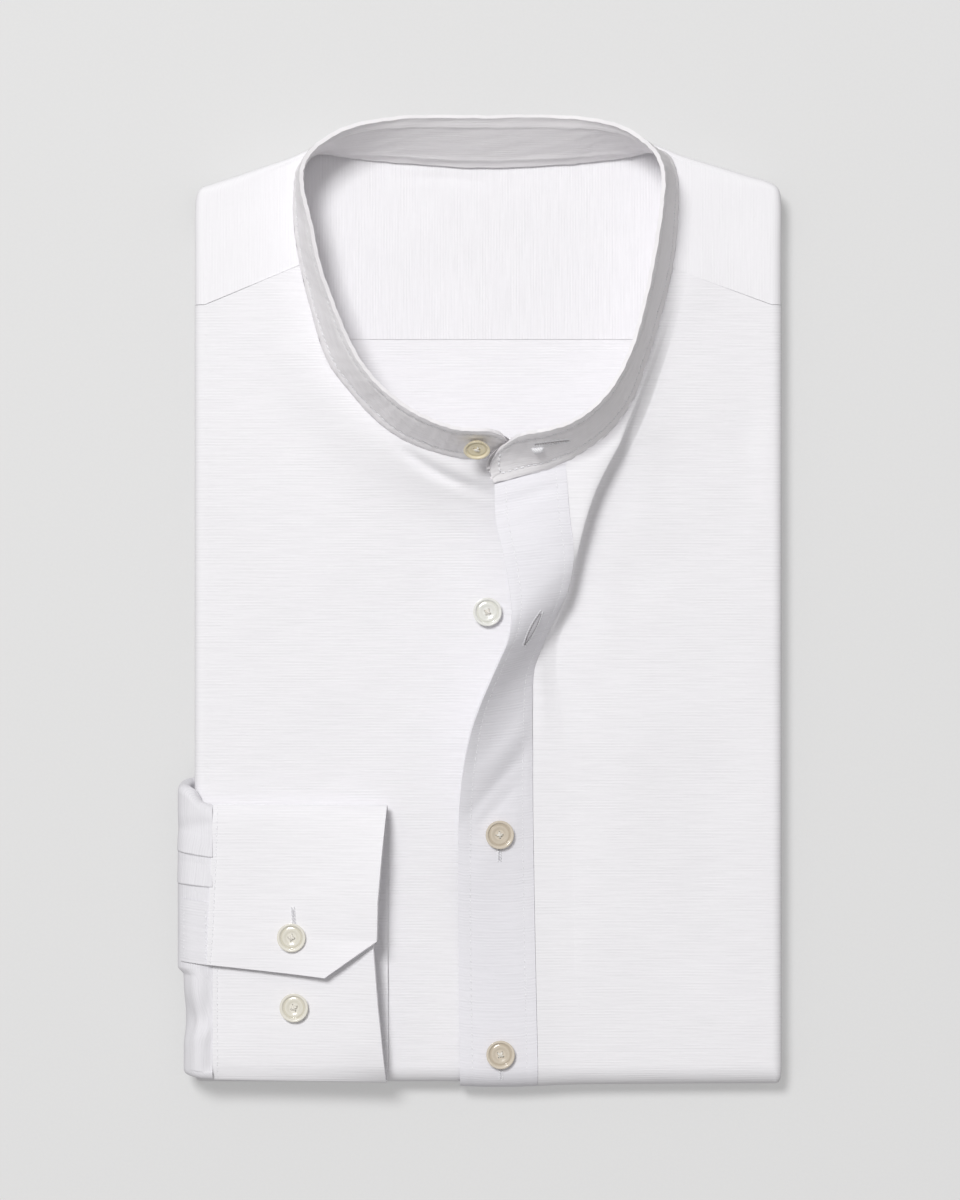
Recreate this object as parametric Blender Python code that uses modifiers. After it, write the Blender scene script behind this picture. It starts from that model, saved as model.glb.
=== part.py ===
"""Mandarin collar shirt, folded flat as for a shelf: cloth walls, collar band, cuff, sleeve and buttons.

The shirt lies on its back. +X is to the wearer's left, +Y towards the collar, +Z up off the surface.
Tables are in millimetres and the scene is in metres. Each cloth piece is a grid laid on a surface that
a function works out from a short table, and a Solidify modifier gives it its wall, below the outer face.
"""
import math
from collections import namedtuple

import bmesh
import bpy
from mathutils import Vector

MM = 0.001

# Cloth walls
WALL = 1.2
PLACKET_WALL = 1.4
BAND_WALL = 2.0
CUFF_WALL = 1.6
SLEEVE_WALL = 1.1
STRIP_WALL = 0.8
LAY_GAP = 0.35
SEAM_GAP = 0.45

# Folded outline: the lines where the cloth starts to turn over, and the heights of its layers
LEFT_TURN = -107.4
RIGHT_TURN = 113.8
FOOT_TURN = -179.0
FRONT_TOP = 16.3
LIP_FLOOR = 8.1
FOOT_FLOOR = 0.5
UNDER_FLOOR = 2.2
FOLD_ANGLE = math.radians(165.0)
CORNER_POWER = 4.0
CORNER_EASE = 0.3
UNDER_PLACKET = 19.0

# Buttons: their section from the middle of the top out and back underneath, as shares of radius and height
BUTTON_DIAMETER = 11.2
BUTTON_THICKNESS = 2.2
BUTTON_STEPS = 18
COLLAR_BUTTON_DIAMETER = 10.4
COLLAR_TILT = math.radians(50.0)
FRONT_LEAN = math.radians(5.0)
CUFF_LEAN = math.radians(-3.5)
BUTTON_PROFILE = (
    (0.0, 0.68), (0.42, 0.66), (0.66, 0.7), (0.8, 1.0), (0.93, 1.0), (1.0, 0.66), (0.9, 0.16), (0.6, 0.0),
    (0.0, 0.0),
)

Finish = namedtuple("Finish", "name colour roughness")
WHITE_COTTON = Finish("white_cotton", (0.86, 0.86, 0.88, 1.0), 0.85)
BAND_COTTON = Finish("band_cotton", (0.80, 0.80, 0.82, 1.0), 0.85)
INNER_COTTON = Finish("inner_cotton", (0.74, 0.74, 0.76, 1.0), 0.9)
CREAM_BUTTON = Finish("cream_button", (0.78, 0.72, 0.60, 1.0), 0.3)

# Collar band, from the button end at the front, round the neck, to the buttonhole end that lies over it
Band = namedtuple("Band", "x y z rim_x rim_y rim_z")
BAND = (
    Band(10.9, 57.5, 25.5, 11.6, 67.6, 51.8),
    Band(-5.8, 57.1, 25.3, -6.1, 67.1, 51.5),
    Band(-15.5, 59.2, 25.0, -15.3, 69.3, 51.1),
    Band(-27.2, 63.3, 24.3, -25.3, 73.9, 50.1),
    Band(-38.8, 70.7, 23.3, -34.1, 80.0, 49.3),
    Band(-50.5, 83.2, 22.0, -42.5, 88.1, 48.4),
    Band(-59.5, 95.7, 20.8, -49.5, 98.6, 46.8),
    Band(-65.8, 115.2, 19.3, -56.4, 114.3, 45.7),
    Band(-70.1, 132.9, 18.2, -62.2, 130.5, 45.0),
    Band(-72.5, 148.5, 17.6, -66.0, 148.2, 44.8),
    Band(-72.5, 162.2, 17.2, -69.0, 161.0, 44.9),
    Band(-70.4, 170.8, 17.0, -68.0, 169.6, 44.8),
    Band(-63.4, 175.4, 16.6, -62.0, 176.6, 44.5),
    Band(-50.7, 175.6, 16.0, -50.0, 184.0, 42.9),
    Band(-31.2, 173.9, 15.6, -30.2, 188.6, 39.9),
    Band(2.0, 171.9, 15.5, 1.9, 189.1, 38.1),
    Band(35.1, 173.5, 15.6, 34.2, 188.8, 39.6),
    Band(55.4, 175.6, 16.0, 53.1, 184.8, 42.4),
    Band(67.0, 176.3, 16.6, 63.3, 178.8, 44.2),
    Band(73.4, 173.4, 17.0, 68.7, 173.0, 44.6),
    Band(76.6, 166.2, 17.4, 71.0, 165.4, 44.8),
    Band(77.2, 152.4, 17.8, 70.0, 150.9, 44.8),
    Band(74.8, 131.6, 18.8, 66.7, 130.5, 45.6),
    Band(70.8, 114.4, 20.5, 62.7, 112.7, 47.2),
    Band(66.0, 98.7, 23.5, 58.1, 97.6, 50.3),
    Band(59.7, 81.2, 28.0, 51.1, 84.2, 54.5),
    Band(51.1, 68.4, 30.0, 43.5, 75.6, 56.1),
    Band(40.6, 60.2, 31.0, 35.1, 69.9, 57.0),
    Band(30.2, 54.4, 31.6, 25.9, 66.9, 56.2),
    Band(19.3, 51.2, 31.0, 17.9, 65.6, 53.2),
    Band(5.4, 47.8, 28.4, 8.3, 63.2, 46.0),
)
BAND_LENGTH = 430.0
END_ROUND = 10.5
END_FALL = 0.6
TIP_CURL = 4.0
TIP_CURL_REACH = 34.0
TIP_BULGE = 3.0
TIP_BULGE_REACH = 8.0

# Right front: where each line across it starts at the side fold and ends, on the neck seam where the row
# gives a place on the band (0 at its first station and 1 more at each) or else at its inner edge
Line = namedtuple("Line", "x y side_y band")
RIGHT_FRONT = (
    Line(UNDER_PLACKET, FOOT_TURN, FOOT_TURN, None),
    Line(UNDER_PLACKET, -110.0, -110.0, None),
    Line(UNDER_PLACKET, -40.0, -40.0, None),
    Line(UNDER_PLACKET, 20.0, 12.0, None),
    Line(UNDER_PLACKET, 50.0, 38.0, None),
    Line(10.9, 56.5, 48.0, 0.0),
    Line(-5.8, 57.1, 55.0, 1.0),
    Line(-15.5, 58.7, 60.0, 2.0),
    Line(-27.4, 62.8, 66.0, 3.0),
    Line(-39.2, 70.3, 74.0, 4.0),
    Line(-50.9, 82.9, 83.0, 5.0),
    Line(-60.0, 95.6, 93.0, 6.0),
    Line(-66.3, 115.0, 105.0, 7.0),
    Line(-70.6, 132.5, 116.9, 7.97),
)
NECK_LIFT_REACH = 17.0

# Left front: the seam it starts from (on the neck seam where the row gives a place on the band), the crest
# of the lifted wave and the hollow beside it
Wave = namedtuple("Wave", "x y z crest_x crest_y crest_z hollow_x hollow_y hollow_z side_y band")
LEFT_FRONT = (
    Wave(23.0, FOOT_TURN, 18.2, 28.9, FOOT_TURN, 17.7, 40.0, FOOT_TURN, 17.1, FOOT_TURN, None),
    Wave(22.0, -134.0, 18.2, 27.9, -134.0, 17.7, 38.0, -134.0, 17.1, -134.0, None),
    Wave(21.0, -68.0, 18.2, 26.1, -68.0, 17.8, 36.0, -68.0, 17.1, -68.0, None),
    Wave(21.3, -33.0, 18.9, 24.6, -36.0, 18.5, 31.0, -38.0, 17.2, -36.0, None),
    Wave(24.6, -16.3, 22.0, 26.6, -16.7, 21.5, 30.4, -19.0, 17.2, -14.0, None),
    Wave(27.5, -9.3, 24.9, 29.5, -9.9, 24.2, 33.0, -12.0, 17.3, -6.0, None),
    Wave(34.5, 5.4, 29.4, 36.5, 5.2, 28.6, 39.9, 3.0, 18.2, 9.0, None),
    Wave(36.5, 14.7, 31.4, 38.6, 14.4, 30.8, 42.0, 11.0, 19.2, 18.0, None),
    Wave(35.2, 33.3, 32.0, 41.4, 33.3, 31.6, 45.4, 31.0, 20.0, 36.0, None),
    Wave(34.6, 45.0, 31.8, 44.6, 45.0, 31.6, 48.6, 42.0, 20.4, 48.0, None),
    Wave(33.9, 56.2, 31.4, 49.2, 55.8, 31.6, 53.6, 52.5, 20.6, 59.0, 27.62),
    Wave(40.9, 60.2, 31.0, 52.8, 62.2, 31.2, 58.4, 60.0, 20.6, 69.0, 27.0),
    Wave(51.5, 68.2, 30.0, 56.8, 69.6, 29.8, 62.8, 68.0, 20.4, 79.0, 26.0),
    Wave(60.1, 81.0, 28.0, 62.2, 81.0, 27.4, 67.8, 79.0, 19.8, 90.0, 25.0),
    Wave(66.5, 98.6, 23.5, 68.6, 98.2, 23.0, 73.4, 96.0, 18.8, 101.0, 24.0),
    Wave(71.3, 114.3, 20.5, 73.4, 113.9, 20.1, 78.2, 111.5, 18.3, 109.0, 23.0),
    Wave(75.3, 131.1, 18.7, 77.4, 130.4, 18.5, 82.8, 128.4, 18.2, 116.9, 22.03),
)
OVERHANG = 0.16
UNDER_CREST = 0.55
SIDE_SETTLE = 0.7

# Front placket: its free edge and its sewn edge, foot to neck
Strip = namedtuple("Strip", "free_x free_y free_z sewn_x sewn_y sewn_z")
PLACKET = (
    Strip(-7.8, FOOT_TURN, 18.4, 22.5, FOOT_TURN, 18.4),
    Strip(-8.4, -134.0, 18.3, 21.5, -134.0, 18.3),
    Strip(-8.2, -87.3, 22.2, 20.6, -80.0, 18.3),
    Strip(-6.6, -65.8, 28.2, 20.5, -55.0, 18.3),
    Strip(-3.5, -49.4, 33.4, 20.5, -38.0, 18.9),
    Strip(0.0, -38.8, 36.6, 21.0, -25.5, 20.3),
    Strip(3.9, -29.4, 39.2, 24.0, -16.3, 22.3),
    Strip(7.7, -20.8, 40.8, 27.0, -9.3, 25.2),
    Strip(10.8, -13.5, 43.0, 30.7, -1.6, 28.0),
    Strip(12.3, -5.4, 43.4, 33.8, 5.4, 30.0),
    Strip(12.0, 1.6, 42.2, 36.0, 14.7, 31.8),
    Strip(9.2, 19.7, 37.2, 35.8, 24.0, 32.1),
    Strip(6.2, 33.0, 31.8, 34.4, 36.0, 32.1),
    Strip(5.6, 46.9, 28.3, 33.1, 54.3, 31.3),
)
PLACKET_CAMBER = 0.5

# Yoke, from one front seam round to the other: its folded edge, the radius it rolls over there, how low it
# turns down and the place on the band that the line across it comes from
Shoulder = namedtuple("Shoulder", "edge_x edge_y roll low band")
YOKE = (
    Shoulder(-111.4, 117.5, 4.0, LIP_FLOOR, 8.0),
    Shoulder(-111.4, 140.0, 4.0, LIP_FLOOR, 9.0),
    Shoulder(-111.1, 157.5, 3.4, LIP_FLOOR, 9.75),
    Shoulder(-109.4, 162.7, 2.8, 6.0, 10.0),
    Shoulder(-105.0, 164.7, 3.2, 3.0, 10.2),
    Shoulder(-97.0, 167.3, 3.2, FOOT_FLOOR, 10.5),
    Shoulder(-84.0, 171.7, 2.4, FOOT_FLOOR, 10.9),
    Shoulder(-75.0, 175.0, 2.0, FOOT_FLOOR, 11.2),
    Shoulder(-69.3, 177.4, 1.8, FOOT_FLOOR, 11.5),
    Shoulder(-64.2, 179.4, 1.9, FOOT_FLOOR, 12.0),
    Shoulder(-50.8, 182.0, 4.0, FOOT_FLOOR, 13.0),
    Shoulder(-31.5, 181.2, 4.4, FOOT_FLOOR, 14.0),
    Shoulder(2.0, 180.0, 4.4, FOOT_FLOOR, 15.0),
    Shoulder(35.4, 181.2, 4.4, FOOT_FLOOR, 16.0),
    Shoulder(56.2, 182.0, 4.0, FOOT_FLOOR, 17.0),
    Shoulder(68.2, 180.2, 1.9, FOOT_FLOOR, 18.0),
    Shoulder(73.0, 178.6, 1.8, FOOT_FLOOR, 18.5),
    Shoulder(76.6, 177.0, 1.8, FOOT_FLOOR, 18.9),
    Shoulder(82.0, 175.2, 2.0, FOOT_FLOOR, 19.2),
    Shoulder(93.0, 171.6, 2.6, FOOT_FLOOR, 19.5),
    Shoulder(105.0, 168.0, 3.2, FOOT_FLOOR, 19.8),
    Shoulder(112.6, 165.7, 3.0, 3.0, 20.05),
    Shoulder(116.5, 163.0, 2.8, 6.0, 20.3),
    Shoulder(117.7, 157.6, 3.4, LIP_FLOOR, 20.6),
    Shoulder(117.8, 140.0, 4.0, LIP_FLOOR, 21.1),
    Shoulder(117.8, 117.5, 4.0, LIP_FLOOR, 22.0),
)
YOKE_END_GAP = 0.03
SIDE_LOW = LIP_FLOOR - 0.1
YOKE_STEP = 0.05
YOKE_SETTLE = 0.46
YOKE_LOW_TURN = math.radians(75.0)

# Inside of the back in the open neck
LINING_TOP = 14.9
LINING_LEFT = -71.0
LINING_RIGHT = 74.0
LINING_INSET = 2.8
LINING_CORNER_INSET = 4.0
NECK_BACK = BAND[10:22]
BACK_TOP = 14.7
INNER_SEAM = 104.0
BACK_END = 30.0
BACK_LEFT = -88.0
BACK_RIGHT = 95.0

# Cuff: the run of its cloth round the flattened tube, from the lapped end to the end under it, with its y
# and height at the mouth and at the sleeve seam
Ply = namedtuple("Ply", "y seam_y z mouth_x mouth_z")
CUFF = (
    Ply(-144.0, -139.2, 25.0, -60.3, 27.6),
    Ply(-129.5, -127.5, 25.1, -39.9, 30.0),
    Ply(-114.5, -113.5, 25.0, -39.6, 30.6),
    Ply(-96.0, -96.0, 24.5, -38.0, 29.6),
    Ply(-82.0, -82.5, 23.6, -36.6, 26.2),
    Ply(-77.3, -77.3, 20.6, -36.0, 21.8),
    Ply(-82.5, -82.5, 17.1, -35.5, 17.4),
    Ply(-130.0, -130.0, 17.0, -35.5, 17.0),
    Ply(-178.6, -178.0, 17.1, -35.5, 17.4),
    Ply(-185.5, -184.4, 19.8, -36.3, 20.6),
    Ply(-178.6, -178.0, 22.3, -37.2, 25.0),
    Ply(-155.0, -155.0, 22.5, -39.6, 27.2),
    Ply(-132.0, -132.0, 22.3, -41.4, 27.4),
    Ply(-112.0, -112.0, 22.0, -42.4, 27.0),
)
CUFF_SEAM = -103.7
MOUTH_POWER = 2.5

# Sleeve: the outer and inner faces of the flattened tube, from under the fold up to the cuff
Tube = namedtuple("Tube", "outer_x outer_z inner_x inner_z low_y high_y")
SLEEVE = (
    Tube(-107.6, 3.0, -107.0, 6.6, -181.0, -67.0),
    Tube(-113.2, 3.5, -111.0, 7.0, -182.0, -67.3),
    Tube(-116.6, 6.2, -112.6, 9.4, -183.0, -67.8),
    Tube(-118.0, 11.4, -112.9, 12.6, -183.2, -69.0),
    Tube(-117.4, 17.0, -111.9, 15.4, -183.2, -69.8),
    Tube(-114.0, 21.2, -109.3, 16.9, -183.6, -71.6),
    Tube(-109.8, 23.0, -107.4, 17.1, -184.0, -75.6),
    Tube(-104.2, 23.3, -104.2, 17.1, -184.2, -77.4),
)

# Pleats in the sleeve at the cuff: where each ends, how far it slants away from the cuff and its depth
Pleat = namedtuple("Pleat", "y slant depth")
PLEATS = (Pleat(-97.8, 5.2, 1.1), Pleat(-109.4, 3.2, 1.1))
PLEAT_RUN = 9.0
PLEAT_EDGE = 1.5
PLEAT_START = 0.4
PLEAT_GROWTH = 3.0

# Placket on the sleeve beside the cuff
STRIP_LOW_X = -115.2
STRIP_HIGH_X = -104.6
STRIP_FOOT_Y = -138.0
STRIP_HEAD_Y = -113.6
STRIP_SLANT = 1.5
STRIP_LIFT = 1.7

# Hidden layers: one row for each height, with how far the edge stands in from the folded outline
Layer = namedtuple("Layer", "z side top foot notch")
LAYERS = (
    Layer(0.0, 2.4, 13.0, 10.6, 7.0),
    Layer(0.7, 1.1, 11.8, 10.2, 8.0),
    Layer(2.0, 0.5, 11.2, 10.0, 9.0),
    Layer(3.6, 0.3, 11.0, 10.0, 9.0),
    Layer(5.2, 0.8, 11.4, 10.0, 9.0),
    Layer(6.3, 2.4, 12.6, 10.4, 9.0),
    Layer(6.8, 4.6, 13.6, 10.6, 6.0),
    Layer(7.4, 5.2, 9.0, 10.6, 4.0),
    Layer(8.2, 6.0, 8.0, 10.6, 1.0),
    Layer(12.4, 6.0, 7.6, 10.6, 0.0),
    Layer(13.2, 8.0, 9.6, 12.0, 0.0),
)
LEFT_EDGE = -111.4
RIGHT_EDGE = 117.8
FOOT_EDGE = -187.2
SHOULDER_Y = 160.0
NECK_EDGE_Y = 178.0
LEFT_SHOULDER_X = -68.0
RIGHT_SHOULDER_X = 73.5
NOTCH_Y = -61.0
NOTCH_SLOPE = 6.0
CORNER_RADIUS = 3.0
CORNER_STEPS = 3


def mix(start, end, share):
    """Value a share of the way from start to end."""
    return start + (end - start)*share


def ease(share):
    """Share from 0 to 1 with soft ends."""
    share = max(0.0, min(1.0, share))
    return share*share*(3.0 - 2.0*share)


def through(stations, place):
    """Point on the smooth line through the stations: place 0 is the first and each one is 1 further."""
    last = len(stations) - 1
    span = min(int(place), last - 1)
    share = place - span
    before, start, end, after = (stations[max(0, min(last, span + step))] for step in (-1, 0, 1, 2))
    length = max(math.dist(start[:3], end[:3]), 0.01)
    lead = math.dist(before[:3], start[:3])
    tail = math.dist(end[:3], after[:3])
    cubic = (
        2*share**3 - 3*share**2 + 1,
        share**3 - 2*share**2 + share,
        3*share**2 - 2*share**3,
        share**3 - share**2,
    )
    point = []
    for a, b, c, d in zip(before, start, end, after):
        leave = (c - a)*length/(lead + length)
        arrive = (d - b)*length/(length + tail)
        point.append(cubic[0]*b + cubic[1]*leave + cubic[2]*c + cubic[3]*arrive)
    return type(start)(*point) if hasattr(start, "_fields") else tuple(point)


def stops(*runs):
    """Grid lines from runs of (start, end, steps), each run starting where the one before ends."""
    lines = [runs[0][0]]
    for start, end, steps in runs:
        lines += [mix(start, end, (step + 1)/steps) for step in range(steps)]
    return lines


def new_material(finish):
    """Plain material for a finish, made once."""
    material = bpy.data.materials.get(finish.name)
    if material is None:
        material = bpy.data.materials.new(finish.name)
        material.use_nodes = True
        shader = material.node_tree.nodes["Principled BSDF"]
        shader.inputs["Base Color"].default_value = finish.colour
        shader.inputs["Roughness"].default_value = finish.roughness
        shader.inputs["Metallic"].default_value = 0.0
    return material


def add_piece(name, mesh, finish):
    """Object for a mesh, in the shirt's collection."""
    piece = bpy.data.objects.new(name, mesh)
    mesh.materials.append(new_material(finish))
    mesh.shade_smooth()
    bpy.data.collections["mandarin_collar_shirt"].objects.link(piece)
    return piece


def lay_grid(name, surface, across, along, finish, ring=False):
    """Grid of cloth whose corners are surface(across, along), in millimetres; a ring closes along."""
    shape = bmesh.new()
    columns = len(across) - 1
    rows = len(along) - 1
    bmesh.ops.create_grid(shape, x_segments=columns, y_segments=rows, size=1.0)
    for corner in shape.verts:
        column = round((corner.co.x + 1.0)/2.0*columns)
        row = round((corner.co.y + 1.0)/2.0*rows)
        corner.co = Vector(surface(across[column], along[row]))*MM
    if ring:
        bmesh.ops.remove_doubles(shape, verts=shape.verts, dist=0.01*MM)
    mesh = bpy.data.meshes.new(name)
    shape.to_mesh(mesh)
    shape.free()
    return add_piece(name, mesh, finish)


def add_wall(piece, thickness):
    """Gives cloth its thickness, on the side away from its outer face."""
    wall = piece.modifiers.new("wall", "SOLIDIFY")
    wall.thickness = thickness*MM
    wall.offset = -1.0


def turn_over(point, side, side_turn, foot_turn, floor=FOOT_FLOOR):
    """Point past the top of a fold: turns run from 0 at its top line to 1 at its lowest edge.

    side is -1 or 1 for the edge that the side turn goes over. The foot turn goes over the near edge, down
    to the floor height given.
    """
    x, y, z = point
    turn = max(side_turn, foot_turn)
    if turn <= 0.0:
        return point
    side_share = side_turn/turn
    foot_share = foot_turn/turn
    norm = (side_share**CORNER_POWER + foot_share**CORNER_POWER)**(1.0/CORNER_POWER)
    foot_weight = foot_share**2/(side_share**2 + foot_share**2)
    side_radius = (z - LIP_FLOOR)/2.0
    foot_radius = (z - floor)/2.0
    angle = turn*FOLD_ANGLE*(1.0 - CORNER_EASE*min(side_share, foot_share))
    drop = mix(side_radius, foot_radius, foot_weight)*(1.0 - math.cos(angle))
    return (
        x + side*side_radius*math.sin(angle)*side_share/norm,
        y - foot_radius*math.sin(angle)*foot_share/norm,
        z - drop,
    )


def neck_seam(place):
    """Point just outside the band's seam at a place along it."""
    seam = through(BAND, place)
    ahead = through(BAND, min(place + 0.1, len(BAND) - 1.0))
    behind = through(BAND, max(place - 0.1, 0.0))
    out = Vector((behind.y - ahead.y, ahead.x - behind.x)).normalized()*SEAM_GAP
    return (seam.x + out.x, seam.y + out.y, seam.z - 0.2)


def front_edge(rows, place):
    """Row of a front's table at a place between its rows, with its edge on the neck seam where it has one."""
    span = min(int(place), len(rows) - 2)
    start, end = rows[span], rows[span + 1]
    plain = [row._replace(band=0.0) for row in rows]
    row = through(plain, place)
    if start.band is None or end.band is None:
        return row
    seam = neck_seam(mix(start.band, end.band, place - span))
    row = row._replace(x=seam[0], y=seam[1])
    return row._replace(z=seam[2]) if "z" in row._fields else row


def neck_lift(x, y):
    """How far the cloth is lifted by the collar band sewn to its edge."""
    nearest = min(BAND[:9], key=lambda band: math.dist((x, y), (band.x, band.y)))
    weights = [(1.0/(math.dist((x, y), (band.x, band.y))**2 + 4.0), band.z) for band in BAND[:9]]
    seam_z = sum(weight*z for weight, z in weights)/sum(weight for weight, _ in weights)
    away = max(0.0, math.dist((x, y), (nearest.x, nearest.y)) - 3.0)
    return (seam_z - 0.3 - FRONT_TOP)*math.exp(-(away/NECK_LIFT_REACH)**2)


def right_front(across, along):
    """Right front: across and along are 0 at the fold lines, below 0 round the folds, 1 at the far edges."""
    line = front_edge(RIGHT_FRONT, max(along, 0.0)*(len(RIGHT_FRONT) - 1))
    share = max(across, 0.0)
    x = mix(LEFT_TURN, line.x, share)
    y = mix(line.side_y, line.y, share)
    point = (x, y, FRONT_TOP + neck_lift(x, y))
    return turn_over(point, -1.0, max(0.0, -across), max(0.0, -along), floor=UNDER_FLOOR)


def left_front_section(wave, share):
    """Point across the left front, from its seam over the crest and the hollow to the side fold."""
    fall = wave.crest_z - wave.hollow_z
    middle_x = mix(wave.hollow_x, RIGHT_TURN, 0.5)
    middle_y = mix(wave.hollow_y, wave.side_y, 0.5)
    section = (
        (wave.x, wave.y, wave.z),
        (wave.crest_x, wave.crest_y, wave.crest_z),
        (
            mix(wave.crest_x, wave.hollow_x, 0.5) - OVERHANG*fall,
            mix(wave.crest_y, wave.hollow_y, 0.5),
            mix(wave.crest_z, wave.hollow_z, UNDER_CREST),
        ),
        (wave.hollow_x, wave.hollow_y, wave.hollow_z),
        (middle_x, middle_y, mix(wave.hollow_z, FRONT_TOP, SIDE_SETTLE)),
        (RIGHT_TURN, wave.side_y, FRONT_TOP),
    )
    return through(section, share*(len(section) - 1))


def left_front(across, along):
    """Left front: across 0 at its seam and 1 at the side fold, past 1 round it; along as on the right."""
    wave = front_edge(LEFT_FRONT, max(along, 0.0)*(len(LEFT_FRONT) - 1))
    point = left_front_section(wave, min(across, 1.0))
    return turn_over(point, 1.0, max(0.0, across - 1.0), max(0.0, -along))


def placket(across, along):
    """Front placket: across 0 at its free edge and 1 at its seam; along below 0 round the foot fold."""
    strip = through(PLACKET, max(along, 0.0)*(len(PLACKET) - 1))
    point = (
        mix(strip.free_x, strip.sewn_x, across),
        mix(strip.free_y, strip.sewn_y, across),
        mix(strip.free_z, strip.sewn_z, across) + PLACKET_CAMBER*math.sin(math.pi*across),
    )
    return turn_over(point, 1.0, 0.0, max(0.0, -along))


def yoke(place, outward):
    """Yoke: place goes by its rows; outward is 0 at the neck edge, 1 at the fold and 2 at its low edge."""
    here = through(YOKE, place)
    neck_x, neck_y, neck_z = neck_seam(here.band)
    ahead = through(YOKE, min(place + YOKE_STEP, len(YOKE) - 1.0))
    behind = through(YOKE, max(place - YOKE_STEP, 0.0))
    out = Vector((behind.edge_y - ahead.edge_y, ahead.edge_x - behind.edge_x)).normalized()
    if here.low > SIDE_LOW:
        out = Vector((math.copysign(1.0, here.edge_x), 0.0))
    roll = here.roll
    top_x = here.edge_x - out.x*roll
    top_y = here.edge_y - out.y*roll
    top_z = min(neck_z, FRONT_TOP)
    if outward <= 1.0:
        height = mix(top_z, neck_z, math.exp(-(outward/YOKE_SETTLE)**2))
        return (mix(neck_x, top_x, outward), mix(neck_y, top_y, outward), height)
    low_roll = min(roll, (top_z - here.low)/2.0)
    quarter = math.pi/2.0*roll
    drop = max(0.0, top_z - here.low - roll - low_roll)
    travel = (outward - 1.0)*(quarter + drop + YOKE_LOW_TURN*low_roll)
    if travel <= quarter:
        angle = travel/roll
        out_by, down_by = roll*math.sin(angle), roll*(1.0 - math.cos(angle))
    elif travel <= quarter + drop:
        out_by, down_by = roll, roll + travel - quarter
    else:
        angle = (travel - quarter - drop)/low_roll
        out_by = roll - low_roll*(1.0 - math.cos(angle))
        down_by = roll + drop + low_roll*math.sin(angle)
    return (top_x + out.x*out_by, top_y + out.y*out_by, top_z - down_by)


def band_height(along):
    """Share of the band's full height: 1, but for the round corner at each of its ends."""
    from_end = min(along, 1.0 - along)*BAND_LENGTH
    inward = max(0.0, 1.0 - from_end/END_ROUND)
    return 1.0 - END_FALL*(1.0 - math.sqrt(1.0 - inward**2))


def collar(up, along):
    """Collar band: up is 0 at the neck seam and 1 at the rim, along goes round from the button end."""
    band = through(BAND, along*(len(BAND) - 1))
    share = up*band_height(along)
    from_tip = (1.0 - along)*BAND_LENGTH
    curl = TIP_CURL*math.exp(-(from_tip/TIP_CURL_REACH)**2)*math.sin(math.pi*share)
    bulge = TIP_BULGE*math.exp(-(from_tip/TIP_BULGE_REACH)**2)*math.sin(math.pi*share)
    return (
        mix(band.x, band.rim_x, share) - bulge,
        mix(band.y, band.rim_y, share),
        mix(band.z, band.rim_z, share) - curl,
    )


def neck_line_y(x):
    """Inner edge of the yoke lining, just inside the band at the back of the neck."""
    for start, end in zip(NECK_BACK, NECK_BACK[1:]):
        if start.x <= x <= end.x:
            return mix(start.y, end.y, (x - start.x)/(end.x - start.x)) - LINING_INSET
    return NECK_BACK[0].y - LINING_CORNER_INSET


def yoke_lining(across, along):
    """Yoke lining: across the neck from left to right, along from the inner seam to the back neck."""
    x = mix(LINING_LEFT, LINING_RIGHT, across)
    return (x, mix(INNER_SEAM + SEAM_GAP, neck_line_y(x), along), LINING_TOP)


def back_panel(across, along):
    """Inside of the back below the yoke lining, running on under both fronts."""
    x = mix(BACK_LEFT, BACK_RIGHT, across)
    return (x, mix(BACK_END, INNER_SEAM, along), BACK_TOP)


def cuff(across, along):
    """Cuff: across 0 at the sleeve seam and 1 at the mouth, along round the flattened tube."""
    place = along*(len(CUFF) - 1)
    ply = through(CUFF, place)
    span = min(int(place), len(CUFF) - 2)
    mouth_x = mix(CUFF[span].mouth_x, CUFF[span + 1].mouth_x, place - span)
    height = mix(ply.z, ply.mouth_z, across**MOUTH_POWER)
    return (mix(CUFF_SEAM, mouth_x, across), mix(ply.seam_y, ply.y, across), height)


def pleat_lift(y, along):
    """Height of the pleats in the sleeve: each rises slowly towards the foot and ends in a fold."""
    lift = 0.0
    for pleat in PLEATS:
        before = y - pleat.y - pleat.slant*(1.0 - along)
        if 0.0 <= before <= PLEAT_RUN:
            lift += pleat.depth*ease(before/PLEAT_EDGE)*(1.0 - before/PLEAT_RUN)
    return lift*ease((along - PLEAT_START)*PLEAT_GROWTH)


def sleeve(along, around):
    """Sleeve: along 0 under the fold and 1 at the cuff, around its flattened ring from the near fold."""
    tube = through(SLEEVE, along*(len(SLEEVE) - 1))
    half = math.dist((tube.outer_x, tube.outer_z), (tube.inner_x, tube.inner_z))/2.0
    straight = (tube.high_y - tube.low_y) - 2.0*half
    turn = math.pi*half
    travel = (around % 1.0)*2.0*(straight + turn)
    outer = travel < straight + turn
    travel -= 0.0 if outer else straight + turn
    if travel <= straight:
        forward, lift = travel, 1.0
    else:
        angle = (travel - straight)/half
        forward, lift = straight + half*math.sin(angle), math.cos(angle)
    y = tube.low_y + half + forward if outer else tube.high_y - half - forward
    lift = lift if outer else -lift
    centre_x, centre_z = (tube.outer_x + tube.inner_x)/2.0, (tube.outer_z + tube.inner_z)/2.0
    out_x, out_z = (tube.outer_x - centre_x)/half, (tube.outer_z - centre_z)/half
    reach = half*lift + (pleat_lift(y, along) if outer else 0.0)
    return (centre_x + out_x*reach, y, centre_z + out_z*reach)


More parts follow.
